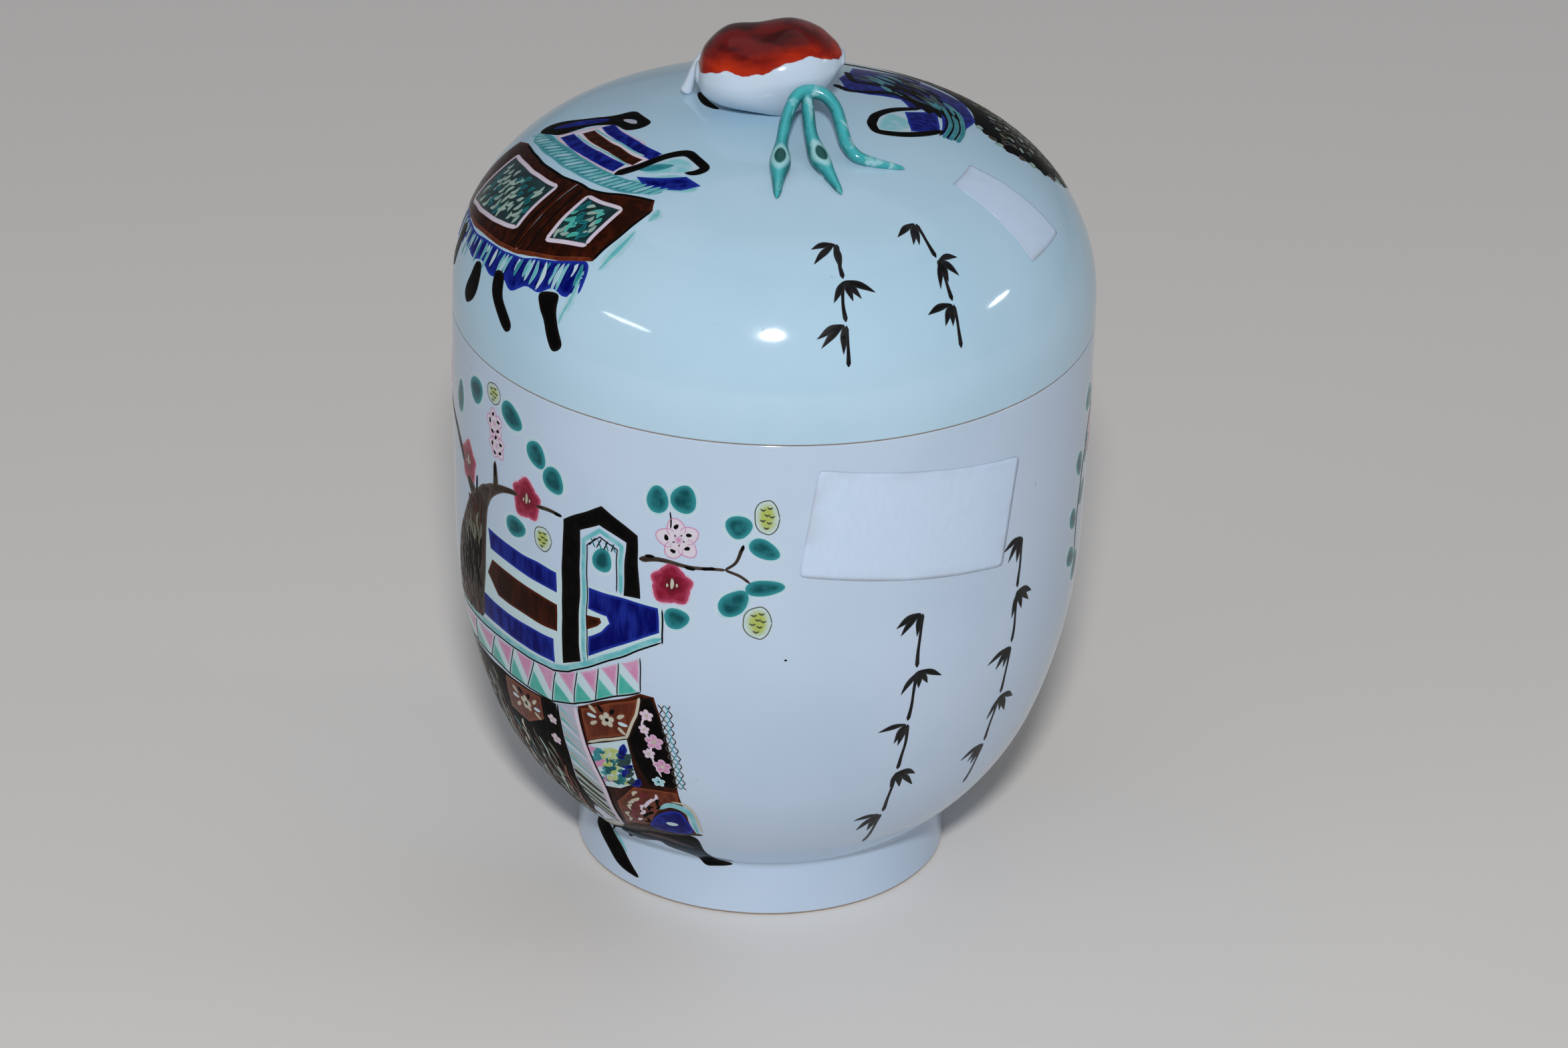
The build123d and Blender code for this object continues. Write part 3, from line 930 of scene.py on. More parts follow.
def prunus(p):
    """Flowering branches that grow round the planter's handle."""
    for path, widths in (
        ([(-22.7, 96.2), (-19, 96.6), (-14.5, 96.2), (-11, 96.3), (-7.2, 96.4)], (1.7, 1.1, 0.9, 0.8, 0.7)),
        ([(-7.4, 96.4), (-5.4, 98.4), (-4.1, 102.2)], (0.6, 0.7, 0.9)),
        ([(-7.4, 96.4), (-5, 95.3), (-2.8, 93.4)], (0.6, 0.7, 0.6)),
        ([(-39, 100.4), (-42, 100.7), (-46, 100.3), (-52, 100.1), (-56, 98.8), (-60, 96), (-63, 91)],
         (0.8, 0.9, 1, 1.3, 2, 3.6, 5)),
        ([(-57.4, 98), (-57.2, 101.5), (-57.2, 104.8)], (2.4, 1.8, 1.2)),
        ([(-62, 88), (-67, 93), (-73, 99), (-80, 103), (-88, 104)], (4, 3.4, 2.4, 1.6, 1.2)),
        ([(-88, 104), (-95, 106.4), (-100, 103), (-102.6, 95), (-104.4, 85), (-104, 73)],
         (1.2, 1, 0.9, 0.8, 0.7, 0.4)),
    ):
        p.line("bark", path, widths)
    p.fill("bark", [
        (-58.8, 97.4), (-60.4, 91.5), (-61.2, 83), (-62, 74.5), (-63.2, 67), (-65, 62.6), (-72, 60.6),
        (-80, 59.6), (-79, 66), (-76.6, 74), (-73.8, 81), (-70.6, 87), (-67.4, 91.6), (-64.4, 94.6),
        (-61.6, 97.2),
    ], 2, True)
    grain = ("black", "brown", "black", "bark", "olive", "black", "brown")
    dabs(p, [(-78.4, 62), (-65, 64), (-61.8, 93), (-67.4, 90)], 74, grain, 5.5, 0.8, 97, 3)
    for knot in (
        [(-21.6, 97.1), (-19.8, 97.1)], [(-14.5, 96), (-12.5, 95.9)], [(-11.5, 96.2), (-9, 96.5)],
        [(-4.3, 101.2), (-4, 102.7)], [(-40.8, 100.5), (-39, 100.5)], [(-57.3, 101), (-57.2, 104.4)],
        [(-64.4, 97.5), (-65, 93)],
    ):
        p.line("black", knot, 0.8, 2)
    p.line("black", [(-17.2, 108.4), (-17, 106.4), (-17.1, 104.6)], 0.35, 2)
    for place in (
        (-19.6, 110.7, 6.2, 4.6, 85), (-14.8, 111.9, 6.2, 5, 70), (-5, 106.8, 5.4, 4.8, 30),
        (-0.5, 101.8, 6.6, 3.8, -28), (-15.8, 83.2, 5.4, 4.4, 10), (-5.5, 88.4, 7.2, 4.6, 48),
        (-0.4, 92.4, 7.6, 3.4, 6), (-30.1, 93.2, 5.6, 4.4, 80), (-45.2, 112.4, 6.2, 5, -55),
        (-41, 108, 6, 5.2, -40), (-51, 92.4, 6.6, 4.6, 8), (-64.7, 118, 6.6, 5.4, 30),
        (-52, 118.2, 7.2, 4.8, -22), (-73.7, 111.5, 7.6, 4.6, 80), (-101, 112, 6, 4.6, 60),
        (-96.6, 109.8, 5.6, 4.2, -30), (-99.6, 99, 6.4, 4.2, 60), (-105.6, 98.6, 6, 4.2, -60),
        (-101.4, 89.4, 6, 4, 50), (-107.4, 86, 5.6, 4, -50), (-103, 72, 6.4, 4.4, 80),
        (-107, 76.4, 5.6, 4, -40),
    ):
        leaf(p, *place)
    for place in (-16.7, 91.2, 10), (-47.7, 100.6, 10.2), (-68.7, 98.6, 10), (-92.4, 99.4, 9):
        red_blossom(p, *place)
    for place in (-15.6, 102.2, 9.8), (-57.4, 113.6, 6.6), (-56.6, 108.8, 6.2), (-89.4, 110.4, 9):
        pale_blossom(p, *place)
    for place in (-0.2, 109.4, 5.2, 8), (-1.3, 84.2, 6.2, 7.6), (-43.4, 93, 5.2, 5.6), (-57.7, 120.6, 5.4, 5):
        bud(p, *place)
    # A stray speck of paint beside the branches
    p.oval("black", (3.8, 75), 0.7, 0.5, 0, 0)


def dogtooth(p, dividers):
    """A band of cells between dividers, each with a hanging pink and a standing green triangle."""
    p.fill("pale", [top for top, _ in dividers] + [bottom for _, bottom in dividers[::-1]])
    for (left_top, left_bottom), (right_top, right_bottom) in zip(dividers, dividers[1:]):
        cell = (left_bottom, right_bottom, right_top, left_top)
        for colour, corners, reach in (
            ("pink", ((0.12, 0.98), (0.94, 0.98), (0.94, 0.24)), 0.6),
            ("mint", ((0.06, 0.03), (0.84, 0.03), (0.06, 0.68)), 0.5),
        ):
            p.fill(colour, [inside_cell(cell, *at) for at in corners], 1, reach=reach)
        p.line("black", [right_top, right_bottom], 0.3, 2, False)
    p.line("black", [bottom for _, bottom in dividers], 0.4, 2, False)


def small_flower(p, az, run, size, petals, heart, level):
    """Five plain petals round a heart."""
    for i in range(5):
        at = p.about(az, run, size * 0.3, 0, 72 * i + 20)
        p.oval(petals, at, size * 0.46, size * 0.4, 72 * i + 20, level, 0.5, count=10)
    p.oval(heart, (az, run), size * 0.26, size * 0.26, 0, level + 1, 0.3, count=8)


def scroll_flower(p, az, run, size):
    """A cream flower between two sprays of leaves, as on a lacquer panel."""
    for side in (-1, 1):
        for colour, x, y in (("cream", 0.95, 0.5), ("pale", 1.05, 0), ("cream", 0.95, -0.5)):
            at = p.about(az, run, side * size * x, size * y)
            p.dab(colour, at, size * 0.62, size * 0.26, side * y * 80, 2)
        at = p.about(az, run, side * size * 0.4, size * 0.66)
        p.dab("black", at, size * 0.5, size * 0.3, side * 50, 2)
    small_flower(p, az, run, size, "cream", "black", 3)


def planter(p):
    """A square planter seen on its corner, with an arched handle, panelled faces and dark legs."""
    p.fill("pale", [
        (-66, 62.6), (-52, 61.8), (-41.5, 62), (-38, 63.2), (-18.4, 77.4), (-18.4, 85.6), (-33, 86.4),
        (-40, 87.2), (-60.5, 88), (-64, 79),
    ])
    p.fill("blue", [(-60.2, 87.2), (-40.2, 86.4), (-40.2, 81.4), (-59.4, 82.6)], 1)
    p.fill("brown", [(-59, 80.1), (-40.2, 78.6), (-40.2, 71.8), (-57, 72.4), (-61, 76)], 1)
    p.fill("blue", [(-65, 69.8), (-41.2, 69.6), (-41.2, 63.5), (-65, 64.2)], 1)
    p.fill("blue", [
        (-33, 85.6), (-19.2, 85), (-18.9, 79.2), (-33.1, 69), (-33.1, 73.8), (-30.2, 75.9), (-28.6, 78.2),
        (-29.2, 79.9), (-33, 80.4),
    ], 1)
    p.fill("brown", [(-33.4, 78.7), (-30.5, 79), (-30.2, 77.9), (-31, 76.9), (-33.2, 75.4)], 1)
    inner_edge = [(-34.1, 66.8), (-34, 82), (-33.9, 96.6), (-30.6, 100.3), (-26.3, 98), (-26.3, 86.2)]
    p.line("aqua", inner_edge, 1.1, 2, False)
    p.line("black", [(-33.3, 68), (-33.2, 95.8), (-30.6, 98.8), (-27.1, 96.8), (-27.1, 86.4)], 0.28, 3, False)
    p.fill("black", [
        (-39.2, 64.4), (-38.6, 100), (-30.2, 106.2), (-23.2, 101.2), (-22.5, 86.2), (-25.7, 85.9),
        (-25.4, 99.2), (-30.6, 101.6), (-34.6, 98.6), (-35.1, 66.8),
    ], 2)
    for i in range(4):
        head = (-31.4 + 1.2 * i, 98.6 - 0.3 * abs(i - 1))
        p.line("black", [(-32.8 + 1.5 * i, 95.9), head], 0.3, 3, False)
        p.line("green", [(-31.6 + 1.4 * i, 95.9), (-32.4 + 1.4 * i, 97.9)], 0.3, 3, False)
    rim = [(-81, 59.4), (-72, 60.8), (-62, 62.2), (-52, 62.3), (-42, 62.3), (-38.2, 63.6), (-18.5, 77.8)]
    p.line("aqua", rim, 1.4, 2, False)
    p.line("black", [(az + 0.2, run - 0.9) for az, run in rim], 0.4, 3, False)
    p.line("black", [(-18.4, 84.8), (-18.3, 76.4)], 0.4, 3, False)
    dogtooth(p, [
        ((-79.6, 57.2), (-81.6, 50.2)), ((-69.8, 59.1), (-72, 52)), ((-60, 60.4), (-63.6, 53.2)),
        ((-53.5, 61), (-56.4, 52.6)), ((-47, 61.2), (-50.4, 52.4)), ((-41.2, 61.4), (-43.5, 52.2)),
        ((-36, 63.6), (-37.5, 54.2)), ((-31.2, 66.6), (-32.3, 57.4)), ((-27, 69.4), (-27.2, 60.6)),
        ((-22.6, 71.8), (-22.6, 63.2)),
    ])
    planter_right_face(p)
    planter_left_face(p)
    planter_post(p)
    p.line("cream", [(-36.4, 14.2), (-44.4, 9.4), (-55.6, -0.4)], (2.2, 2.4, 1.6), 2)
    p.line("black", [(-36, 12.6), (-44, 7.6), (-54, -1.4)], (0.6, 1, 0.6), 3)
    sill = [(-37.9, 12.6), (-28.9, 16.6), (-23.4, 17.8), (-18.1, 19.2), (-13.3, 20)]
    p.line("bark", sill, (1.8, 1.8, 1.7, 1.5, 0.8), 2)
    p.fill("black", [
        (-45.3, -0.4), (-41.2, 8), (-36, 12.6), (-28.6, 16), (-22.3, 17.6), (-17.8, 18.6), (-14.8, 17),
        (-14.2, 8), (-12.2, 2), (-8.2, -0.1), (-13.9, -1.1), (-17.7, -0.7), (-21.3, 3.6), (-25.6, 6.5),
        (-27.4, 9.6), (-33.2, 6.4),
    ], 1, True)
    p.line("brown", [(-32, 12.4), (-24, 13.6), (-16.6, 11)], (0.6, 2.2, 0.6), 2)
    p.fill("black", [
        (-63.7, -3), (-60.4, 0.6), (-55.4, -0.8), (-49.6, -3.4), (-45.6, -5.8), (-40.6, -9), (-43.4, -9.3),
        (-50.4, -8.4), (-56, -6.2),
    ], 1, True)
    p.line("aqua", [(-53.4, -1), (-49.4, -2.8), (-46, -4.8)], (0.5, 0.9, 0.4))


def planter_post(p):
    """The planter's corner post, hatched finely above and broadly below."""
    p.fill("lilac", [
        (-42.2, 52), (-36.9, 54), (-36.6, 47), (-36.4, 41.9), (-34.4, 30), (-35.1, 14.3), (-38.3, 12),
        (-42, 20.7), (-42.8, 30), (-42.4, 39.1),
    ], 2)
    left = [(-41.9, 51.4), (-42.2, 39), (-42.5, 28.6), (-41.2, 19)]
    right = [(-38, 53), (-37.6, 43.9), (-35.6, 30.6), (-36.8, 15)]
    fine, broad = ("aqua", "celadon", "mint", "pale") * 3, ("celadon", "bark") * 5
    spaces = len(fine + broad) + 1
    for i, colour in enumerate(fine + broad):
        start, end = along_edge(left, i / spaces), along_edge(right, min(1, (i + 2.4) / spaces))
        widths = (0.9, 0.5, 0.2) if i < len(fine) else (1.5, 1.3, 0.9)
        p.line(colour, [start, between(start, end, 0.5), end], widths, 3)
    p.line("blush", [(-37.4, 53.4), (-37, 43.9), (-35, 30.6), (-36.4, 15)], (1, 1.1, 1.1, 0.8), 3)
    for edge in (
        [(-42.2, 52), (-42.5, 39), (-42.9, 28.6), (-41.6, 19)],
        [(-36.6, 53.6), (-36.2, 43.9), (-34.2, 30.6), (-35.4, 14)],
    ):
        p.line("black", edge, 0.4, 4)


def planter_right_face(p):
    """The planter's right face: two lacquer panels, patchwork, a black flower panel and a willow edge."""
    p.fill("brown", [
        (-36.8, 54), (-22.6, 62.8), (-20, 62.6), (-17.9, 51), (-16.6, 34), (-15.6, 25), (-14.4, 19.6),
        (-24, 17), (-36, 12.8), (-34.6, 30.6), (-36.2, 44),
    ])
    p.fill("rust", [(-36, 53.6), (-23.2, 61.4), (-25.6, 50.8), (-35.8, 45)], 1)
    p.line("cream", [(-35.8, 44.4), (-26.2, 49.8), (-24, 56.6), (-22.9, 61.8)], 0.7, 2, False)
    scroll_flower(p, -30.2, 53, 3.8)
    p.fill("pale", [(-35.9, 43.5), (-26.3, 49), (-25.4, 36.6), (-30.4, 32.4), (-34.2, 31.6)], 1)
    patches = ("green", "yellow", "teal", "blue", "yellow", "green", "pink", "pine")
    dabs(p, [(-33.6, 32.6), (-26, 36.6), (-26.8, 47.6), (-35.4, 42.6)], 48, patches, 3.2, 1.9, 40, 2)
    p.fill("black", [
        (-22.6, 61.6), (-20.4, 62.4), (-18.1, 52.4), (-16.8, 36.8), (-22.9, 36.6), (-25.4, 44), (-25.9, 49.4),
        (-23.8, 55.4),
    ], 1)
    p.line("blush", [(-22, 57.8), (-22.8, 54), (-21.4, 50), (-21.2, 45), (-19.8, 40)], 0.5, 2)
    for az, run, size, colour in (
        (-21.8, 57.4, 3.2, "blush"), (-22.4, 53.2, 2.6, "blush"), (-20.6, 50, 4.2, "pink"),
        (-19.5, 43.2, 4, "pink"), (-21.8, 46.4, 2.8, "blush"),
    ):
        small_flower(p, az, run, size, colour, "cream", 2)
    small_flower(p, -20.6, 38.2, 3, "halo", "green", 2)
    for i, colour in enumerate(("bark", "teal", "olive", "bark")):
        reed = [(-15.2 - 0.6 * i - 0.1 * k + 0.3 * (-1) ** (k + i), 37 + 1.2 * k) for k in range(21)]
        p.line(colour, reed, 0.28, 1 + i % 2)
    p.fill("rust", [
        (-33.6, 17), (-32.4, 26.4), (-26.8, 34.6), (-17, 35.4), (-17, 32.6), (-22.6, 27), (-26, 20.4),
    ], 1)
    petals = ("blush", "maroon", "cream", "black")
    dabs(p, [(-32.6, 18.6), (-25.8, 21.6), (-18.4, 34.2), (-26.8, 33.4)], 24, petals, 2.6, 0.9, 60, 2)
    pool = [(-26.2, 19.6), (-21.4, 27), (-17.7, 28.6), (-15.9, 25.4), (-15.4, 20.6), (-21, 18.8)]
    p.fill("blue", pool, 3, True)
    p.dab("pale", (-19.9, 23), 3, 1.4, 12, 4)
    bank = [(-22, 28.2), (-19.2, 30.6), (-16.4, 30), (-14.7, 27), (-14, 20.4)]
    p.line("aqua", bank, (0.6, 1.6, 1.8, 1.4, 0.7), 3)
    p.line("cream", [(-18.6, 32), (-15.6, 31.4), (-13.6, 27), (-13, 21)], (0.4, 0.7, 0.7, 0.4))


def planter_left_face(p):
    """The planter's left face, seen at a slant: lacquer panels and patchwork on a dark ground."""
    p.fill("black", [
        (-80.4, 50.4), (-72, 51.4), (-60, 51.8), (-42.6, 51.8), (-42.5, 39), (-42.8, 30), (-42, 20),
        (-55.6, 0), (-64, 0), (-72, 12), (-78, 30),
    ])
    p.fill("rust", [(-58.6, 51), (-47, 51.4), (-47.4, 45), (-53.7, 41), (-60, 41.6)], 1)
    scroll_flower(p, -52.6, 46.8, 3.8)
    p.fill("black", [(-46.6, 51.4), (-43, 51.6), (-43, 39), (-43.6, 32), (-48.4, 38), (-47, 44.4)], 1)
    for place in (-44.6, 46.4, 2.6), (-45, 40.6, 3):
        small_flower(p, *place, "blush", "cream", 2)
    strokes = ("olive", "bark", "cream", "brown", "celadon", "bark", "green", "rust")
    dabs(p, [(-60, 3), (-45, 15), (-44, 36), (-61, 40.6)], 70, strokes, 5, 0.9, 100, 2)
    dabs(p, [(-72, 14), (-62, 4), (-61.5, 50), (-79, 48)], 70, strokes, 6, 0.9, 96, 1)


def framed(p, corners, level):
    """A dark green panel in a thin pale frame."""
    p.fill("pine", corners, level)
    for start, end in zip(corners, corners[1:] + corners[:1]):
        p.line("blush", [between(start, end, k / 4) for k in range(5)], 1, level + 3, False)


def lid_box(p):
    """A footed wooden box with corded edges, a striped deck, looped handles and a fringe."""
    p.fill("brown", [
        (-99, 37), (-93.4, 40.2), (-80, 43.2), (-67.7, 45.4), (-61, 46.6), (-60.4, 26.4), (-72, 24.2),
        (-84.7, 21.8), (-99, 19),
    ])
    p.fill("brown", [
        (-60.6, 46.6), (-55, 47.2), (-44.7, 50.2), (-36, 51.6), (-34, 48.7), (-39.9, 32.8), (-48, 29.8),
        (-60.2, 26.4),
    ])
    framed(p, [(-64.5, 30.4), (-65.1, 43), (-90.2, 37.8), (-90.5, 23.4)], 1)
    panel = [(-88.6, 25.4), (-65.4, 31.6), (-66, 41.6), (-88.6, 36.6)]
    dabs(p, panel, 48, ("celadon", "celadon", "green"), 2.8, 1.2, 65, 2)
    framed(p, [(-54.2, 32.4), (-43.6, 35.3), (-41.9, 46.2), (-53.9, 45.4)], 1)
    panel = [(-53.2, 33.8), (-44.6, 36.2), (-43.2, 45), (-53, 44.4)]
    dabs(p, panel, 24, ("green", "celadon", "mint"), 2.8, 1.1, 50, 2)
    for az in (-62.6, -60.4, -57.4):
        p.line("black", [(az, 46.4), (az + 0.2, 37), (az + 0.1, 27.2)], 0.5)
    top_edge = [(-93, 40), (-80, 43), (-61, 46.4), (-55, 47), (-45, 50), (-36, 51.4)]
    for edge in (top_edge, [(-34.2, 48.6), (-40, 33)]):
        p.line("black", edge, 0.7, 2)
    p.line("rust", [(-84.7, 22.2), (-72, 24.6), (-60, 26.8), (-48, 30.4), (-40.6, 33)], 0.9, 2)
    cord = [
        (-97, 41.8), (-87.2, 45.4), (-74.8, 48.4), (-62.2, 50.3), (-51.8, 51.6), (-45.4, 52.8), (-36.5, 54.4),
    ]
    p.line("teal", cord, (3.4, 4.2, 4.6, 4.4, 4.2, 4, 2.4))
    strands = 26
    for i in range(strands):
        middle = along_edge(cord, (i + 0.5) / strands)
        strand = [p.about(*middle, k, 0.9 * k, 14) for k in (-1.7, 0, 1.7)]
        p.line(("aqua", "aqua", "halo")[i % 3], strand, (0.4, 0.9, 0.4), 2)
    p.fill("blush", [(-91.2, 46.9), (-72, 51.2), (-55.7, 53.2), (-50.6, 62.6), (-66, 64.2), (-87.7, 60.4)])
    p.band("blue", [(-88.6, 49.6), (-70.5, 53.6), (-57, 55.2)], 3.2)
    p.band("brown", [(-86.4, 54.6), (-68.9, 57.7), (-54.6, 59)], 2.8)
    p.band("blue", [(-87.2, 58.8), (-67.4, 61.9), (-51.8, 62.8)], 3)
    for rise in (0, 4.2):
        p.line("aqua", [(-87, 51.9 + rise), (-70, 55.7 + rise), (-56, 57.2 + rise)], 0.5, 2)
    p.fill("black", [
        (-97.7, 42.7), (-99.7, 44.4), (-99.1, 48.8), (-96.8, 54.7), (-95, 60.3), (-95.3, 64.2), (-90.3, 66.2),
        (-80.9, 68), (-77.4, 65.8), (-79.1, 62.6), (-86.4, 60.3), (-90.5, 55.1), (-90.7, 48.4), (-93.5, 45.4),
    ], 2, True)
    p.line("blue", [(-96.4, 46), (-94.8, 52), (-91.6, 59)], (0.8, 2.2, 1.6), 3)
    p.line("lilac", [(-88.8, 62.4), (-85.4, 64.2), (-82.6, 65)], (0.8, 1.6, 0.8), 3)
    flap = [(-50, 56.2), (-48.6, 62.4), (-45, 65.6), (-38, 66), (-32.4, 64.4), (-35, 61.6), (-42, 59.6)]
    p.fill("halo", flap)
    p.line("teal", [(-51, 57.4), (-47, 60.4), (-42, 63)], (0.8, 2.6, 0.8))
    lining = [(-50, 52.8), (-41, 54.6), (-32, 55.8), (-26.6, 57.8), (-31, 60.4), (-40, 60)]
    p.fill("aqua", lining, 0, True, 1.4)
    strap = [(-48.6, 55.4), (-41, 58.4), (-33.6, 61), (-26.4, 59.2), (-31.6, 56.6), (-42.2, 54)]
    p.fill("blue", strap, 2, reach=1.2)
    p.line("black", [
        (-55.4, 53.2), (-52.3, 58.4), (-49.4, 63.9), (-44.3, 67.4), (-37.3, 67.2), (-31, 65.6), (-30.2, 64.4),
        (-32.2, 62.6), (-35.4, 61.8),
    ], (2, 2, 2.2, 2.4, 2.2, 2.2, 2.2, 1.7, 0.8), 3)
    lid_box_skirt(p)


def lid_box_skirt(p):
    """The box's blue fringe with turquoise and white threads, its black feet and washed ribbons."""
    hem = [(-92, 20.4), (-80, 22), (-70, 23.9), (-58.5, 26.2), (-50, 29), (-41, 32)]
    p.fill("blue", hem + [
        (-39.4, 26), (-42.7, 23.4), (-46, 24), (-49, 21.8), (-52.6, 21.8), (-56.3, 19.2), (-60, 20.4),
        (-64.2, 18.8), (-69, 19.6), (-73.8, 18.2), (-80, 18.6), (-90, 17),
    ], 0, True, 1.4)
    threads = 46
    colours = ("aqua", "blue", "pale", "teal", "blue", "aqua", "halo")
    for i in range(threads):
        top = along_edge(hem, (i + 0.4) / threads)
        drop = 2.4 + 4.6 * rng.random()
        sway = 2 * (rng.random() - 0.5)
        thread = [p.about(*top, x, y) for x, y in ((0, -0.4), (sway, -drop / 2), (sway * 0.6, -drop))]
        p.line(colours[i % len(colours)], thread, (0.5, 1.2, 0.5), 1 + i % 2)
    for foot in (
        [(-68.4, 18.8), (-67.2, 14.6), (-68, 11.2), (-70.4, 9.4), (-72.2, 11.2), (-71.6, 15), (-71, 18.6)],
        [(-62.7, 20.4), (-60, 21), (-57.5, 16.4), (-53.5, 12.3), (-54.8, 10.4), (-58.6, 13.3), (-61.7, 16.7)],
        [(-48.4, 22), (-44.2, 23.4), (-43.1, 19.4), (-40.1, 13.7), (-42, 11.8), (-45.2, 16.8), (-47.2, 19)],
        [(-86.6, 19), (-83.6, 19.4), (-83.8, 14), (-85.4, 9.8), (-88, 10.6), (-87.4, 15)],
    ):
        p.fill("black", foot, 3, True)
    for ribbon, width in (
        ([(-32.8, 49.6), (-32.4, 47.6), (-32.8, 45.6)], 4.6),
        ([(-34.4, 42.4), (-35.8, 36.5), (-37.6, 31.4)], 3.4),
        ([(-40.6, 30), (-40.9, 23.7), (-41.9, 17.6)], 2.4),
    ):
        p.line("halo", ribbon, (width * 0.6, width, width * 0.5), 0, shade=0.6)
        p.line("aqua", ribbon, (0.3, width * 0.4, 0.2))


def lid_bundle(p):
    """A netted round jar on a stand, tied up in blue cloth, with the black loops of its knot standing up."""
    front = [
        (102, 51.5), (96.8, 49.3), (92.2, 46.7), (90.9, 43.7), (91.1, 38.8), (92, 34.2), (97.2, 27.8),
        (108, 21.6),
    ]
    p.fill("black", front + [
        (124, 18.6), (140, 21), (152, 27), (157, 35), (156, 42), (150, 47.5), (140, 49), (128, 48.5),
        (115, 49.5),
    ], 0, True)
    belly_dabs = ("celadon", "bark", "pine", "olive")
    dabs(p, [(99, 25.4), (146, 23.6), (154, 45), (93, 46.6)], 190, belly_dabs, 2, 1, 30, 1)
    net = [(101, 24.4), (149, 24), (155, 44), (93.6, 46.6)]
    meshes, rows = 16, 4
    for i in range(1 - rows, meshes):
        steps = [k for k in range(rows + 1) if 0 <= i + k <= meshes]
        for mirrored in (0, 1):
            bar = [inside_cell(net, (i + k) / meshes, abs(mirrored - k / rows)) for k in steps]
            p.line("bark", bar, 0.36)
    p.line("brown", [(109, 20.2), (124, 17), (139, 19.6)], (1, 3, 1))
    beads = 15
    for i in range(beads):
        at = along_edge(front, (i + 0.5) / beads)
        p.dab(("celadon", "black", "bark")[i % 3], at, 2.2, 1.6, 30 * i, 2)
    p.fill("blue", [
        (147.3, 72.1), (154.4, 58.5), (145.9, 54.3), (140.2, 51.4), (129.4, 50.2), (119.5, 49.1),
        (104.5, 51.4), (93.8, 55.4), (83.2, 58.6), (86.2, 60.5), (106.7, 59.8), (104.6, 66.6),
        (114.9, 66.9), (120.2, 73.5), (128.9, 78),
    ], 1)
    folds = ("black", "black", "black", "pine", "black", "teal")
    dabs(p, [(92, 56), (140, 53), (146, 70), (112, 66)], 50, folds, 6, 1.7, 10, 2)
    for rise in (0, 1.6, 3):
        p.line("teal", [(83.4, 56.8 + rise), (96, 55.4 + rise), (110, 54.6 + rise)], 1.1, 3)
        p.line("black", [(84, 57.6 + rise), (96, 56.2 + rise), (110, 55.4 + rise)], 0.4, 4)
    p.fill("halo", [(95.8, 72.4), (78, 74.8), (70, 73), (76, 68.6), (88, 66)], 1, True, 1.4)
    p.fill("blue", [(99.4, 68.4), (105.2, 60.4), (88, 61), (80.4, 67), (88, 68)], 2)
    p.line("black", [
        (105.6, 64.4), (101.6, 69.8), (95.8, 73), (86.8, 75.2), (76.4, 75.6), (69.6, 74.2), (68.6, 72.6),
        (73.6, 68.6), (81.9, 63.8), (88.4, 60.2),
    ], (1, 1.8, 2, 2.1, 2.2, 2.2, 2.2, 2, 1.8, 1.2), 3)
    fold = [(141.8, 77), (128, 76.6), (122.8, 71.4), (120.6, 65.4), (112, 62.6), (104, 58.9)]
    p.line("black", fold, 1.7, 3)
    p.line("black", [(152, 64.8), (146, 68.4), (139.6, 70.4), (130.4, 64.8), (126.4, 60.4)], 1.5, 3)
    p.line("black", [(161, 54.4), (151.4, 52.8), (143.4, 51), (136, 50.6)], (1.6, 1.4, 1.2, 0.8), 3)


def lid_scroll(p):
    """A rolled scroll with a lattice cover and turned roller ends, tied with a ribbon."""
    for roller in (
        [(181, 22.6), (177.6, 21.7), (175.4, 21.2)],
        [(220.6, 32.9), (224, 33.8), (226.2, 34.4)],
    ):
        p.line("brown", roller, (2.6, 2, 4.4), 0)
        p.line("black", roller[1:], (0.6, 1.6))
    p.fill("pale", [(185, 17), (217, 25), (221, 33), (215, 37), (182, 28), (180, 22)], 1)
    cover = [(187.4, 19.8), (214.4, 26.8), (214.6, 33.6), (185.4, 26.4)]
    p.fill("blue", cover, 2)
    cells = 9
    for i in range(cells):
        for foot, head in ((i, i + 1), (i + 1, i)):
            bar = [inside_cell(cover, foot / cells, 0.04), inside_cell(cover, head / cells, 0.96)]
            p.line("aqua", bar, 0.4, 3, False)
    for az in (184.2, 217):
        tilt = 0.25 * (az - 184)
        p.line("yellow", [(az + 0.6, 19.4 + tilt), (az - 0.6, 22.8 + tilt), (az - 1.2, 26.4 + tilt)], 1.4, 2)
    p.line("black", [(185, 17), (217, 25), (222, 32), (216, 37), (182, 28), (180, 22), (185, 17)], 0.8, 2)
    for az in (195, 198.4, 201.8):
        low, high = 19.4 + (az - 185) * 0.25, 31.6 + (az - 195) * 0.25
        p.line("aqua", [(az, low), (az - 1.4, 25), (az - 1, high)], 1.3, 4)
    loop = [(197, 31), (201, 37), (207, 40), (213, 39.6), (217, 37.4), (213, 35)]
    p.line("black", loop, (0.8, 1.4, 1.8, 1.8, 1.6, 0.8), 3)
    p.line("blue", [(202, 33.6), (207, 37.4), (212, 37.6)], (0.8, 2.2, 1), 2)
    for tail in (
        [(196.6, 19.8), (194.2, 15.2), (189.8, 11.6)],
        [(199.4, 20.4), (201.6, 15.8), (206, 12.6)],
    ):
        p.line("aqua", tail, (0.8, 2.2, 0.7))


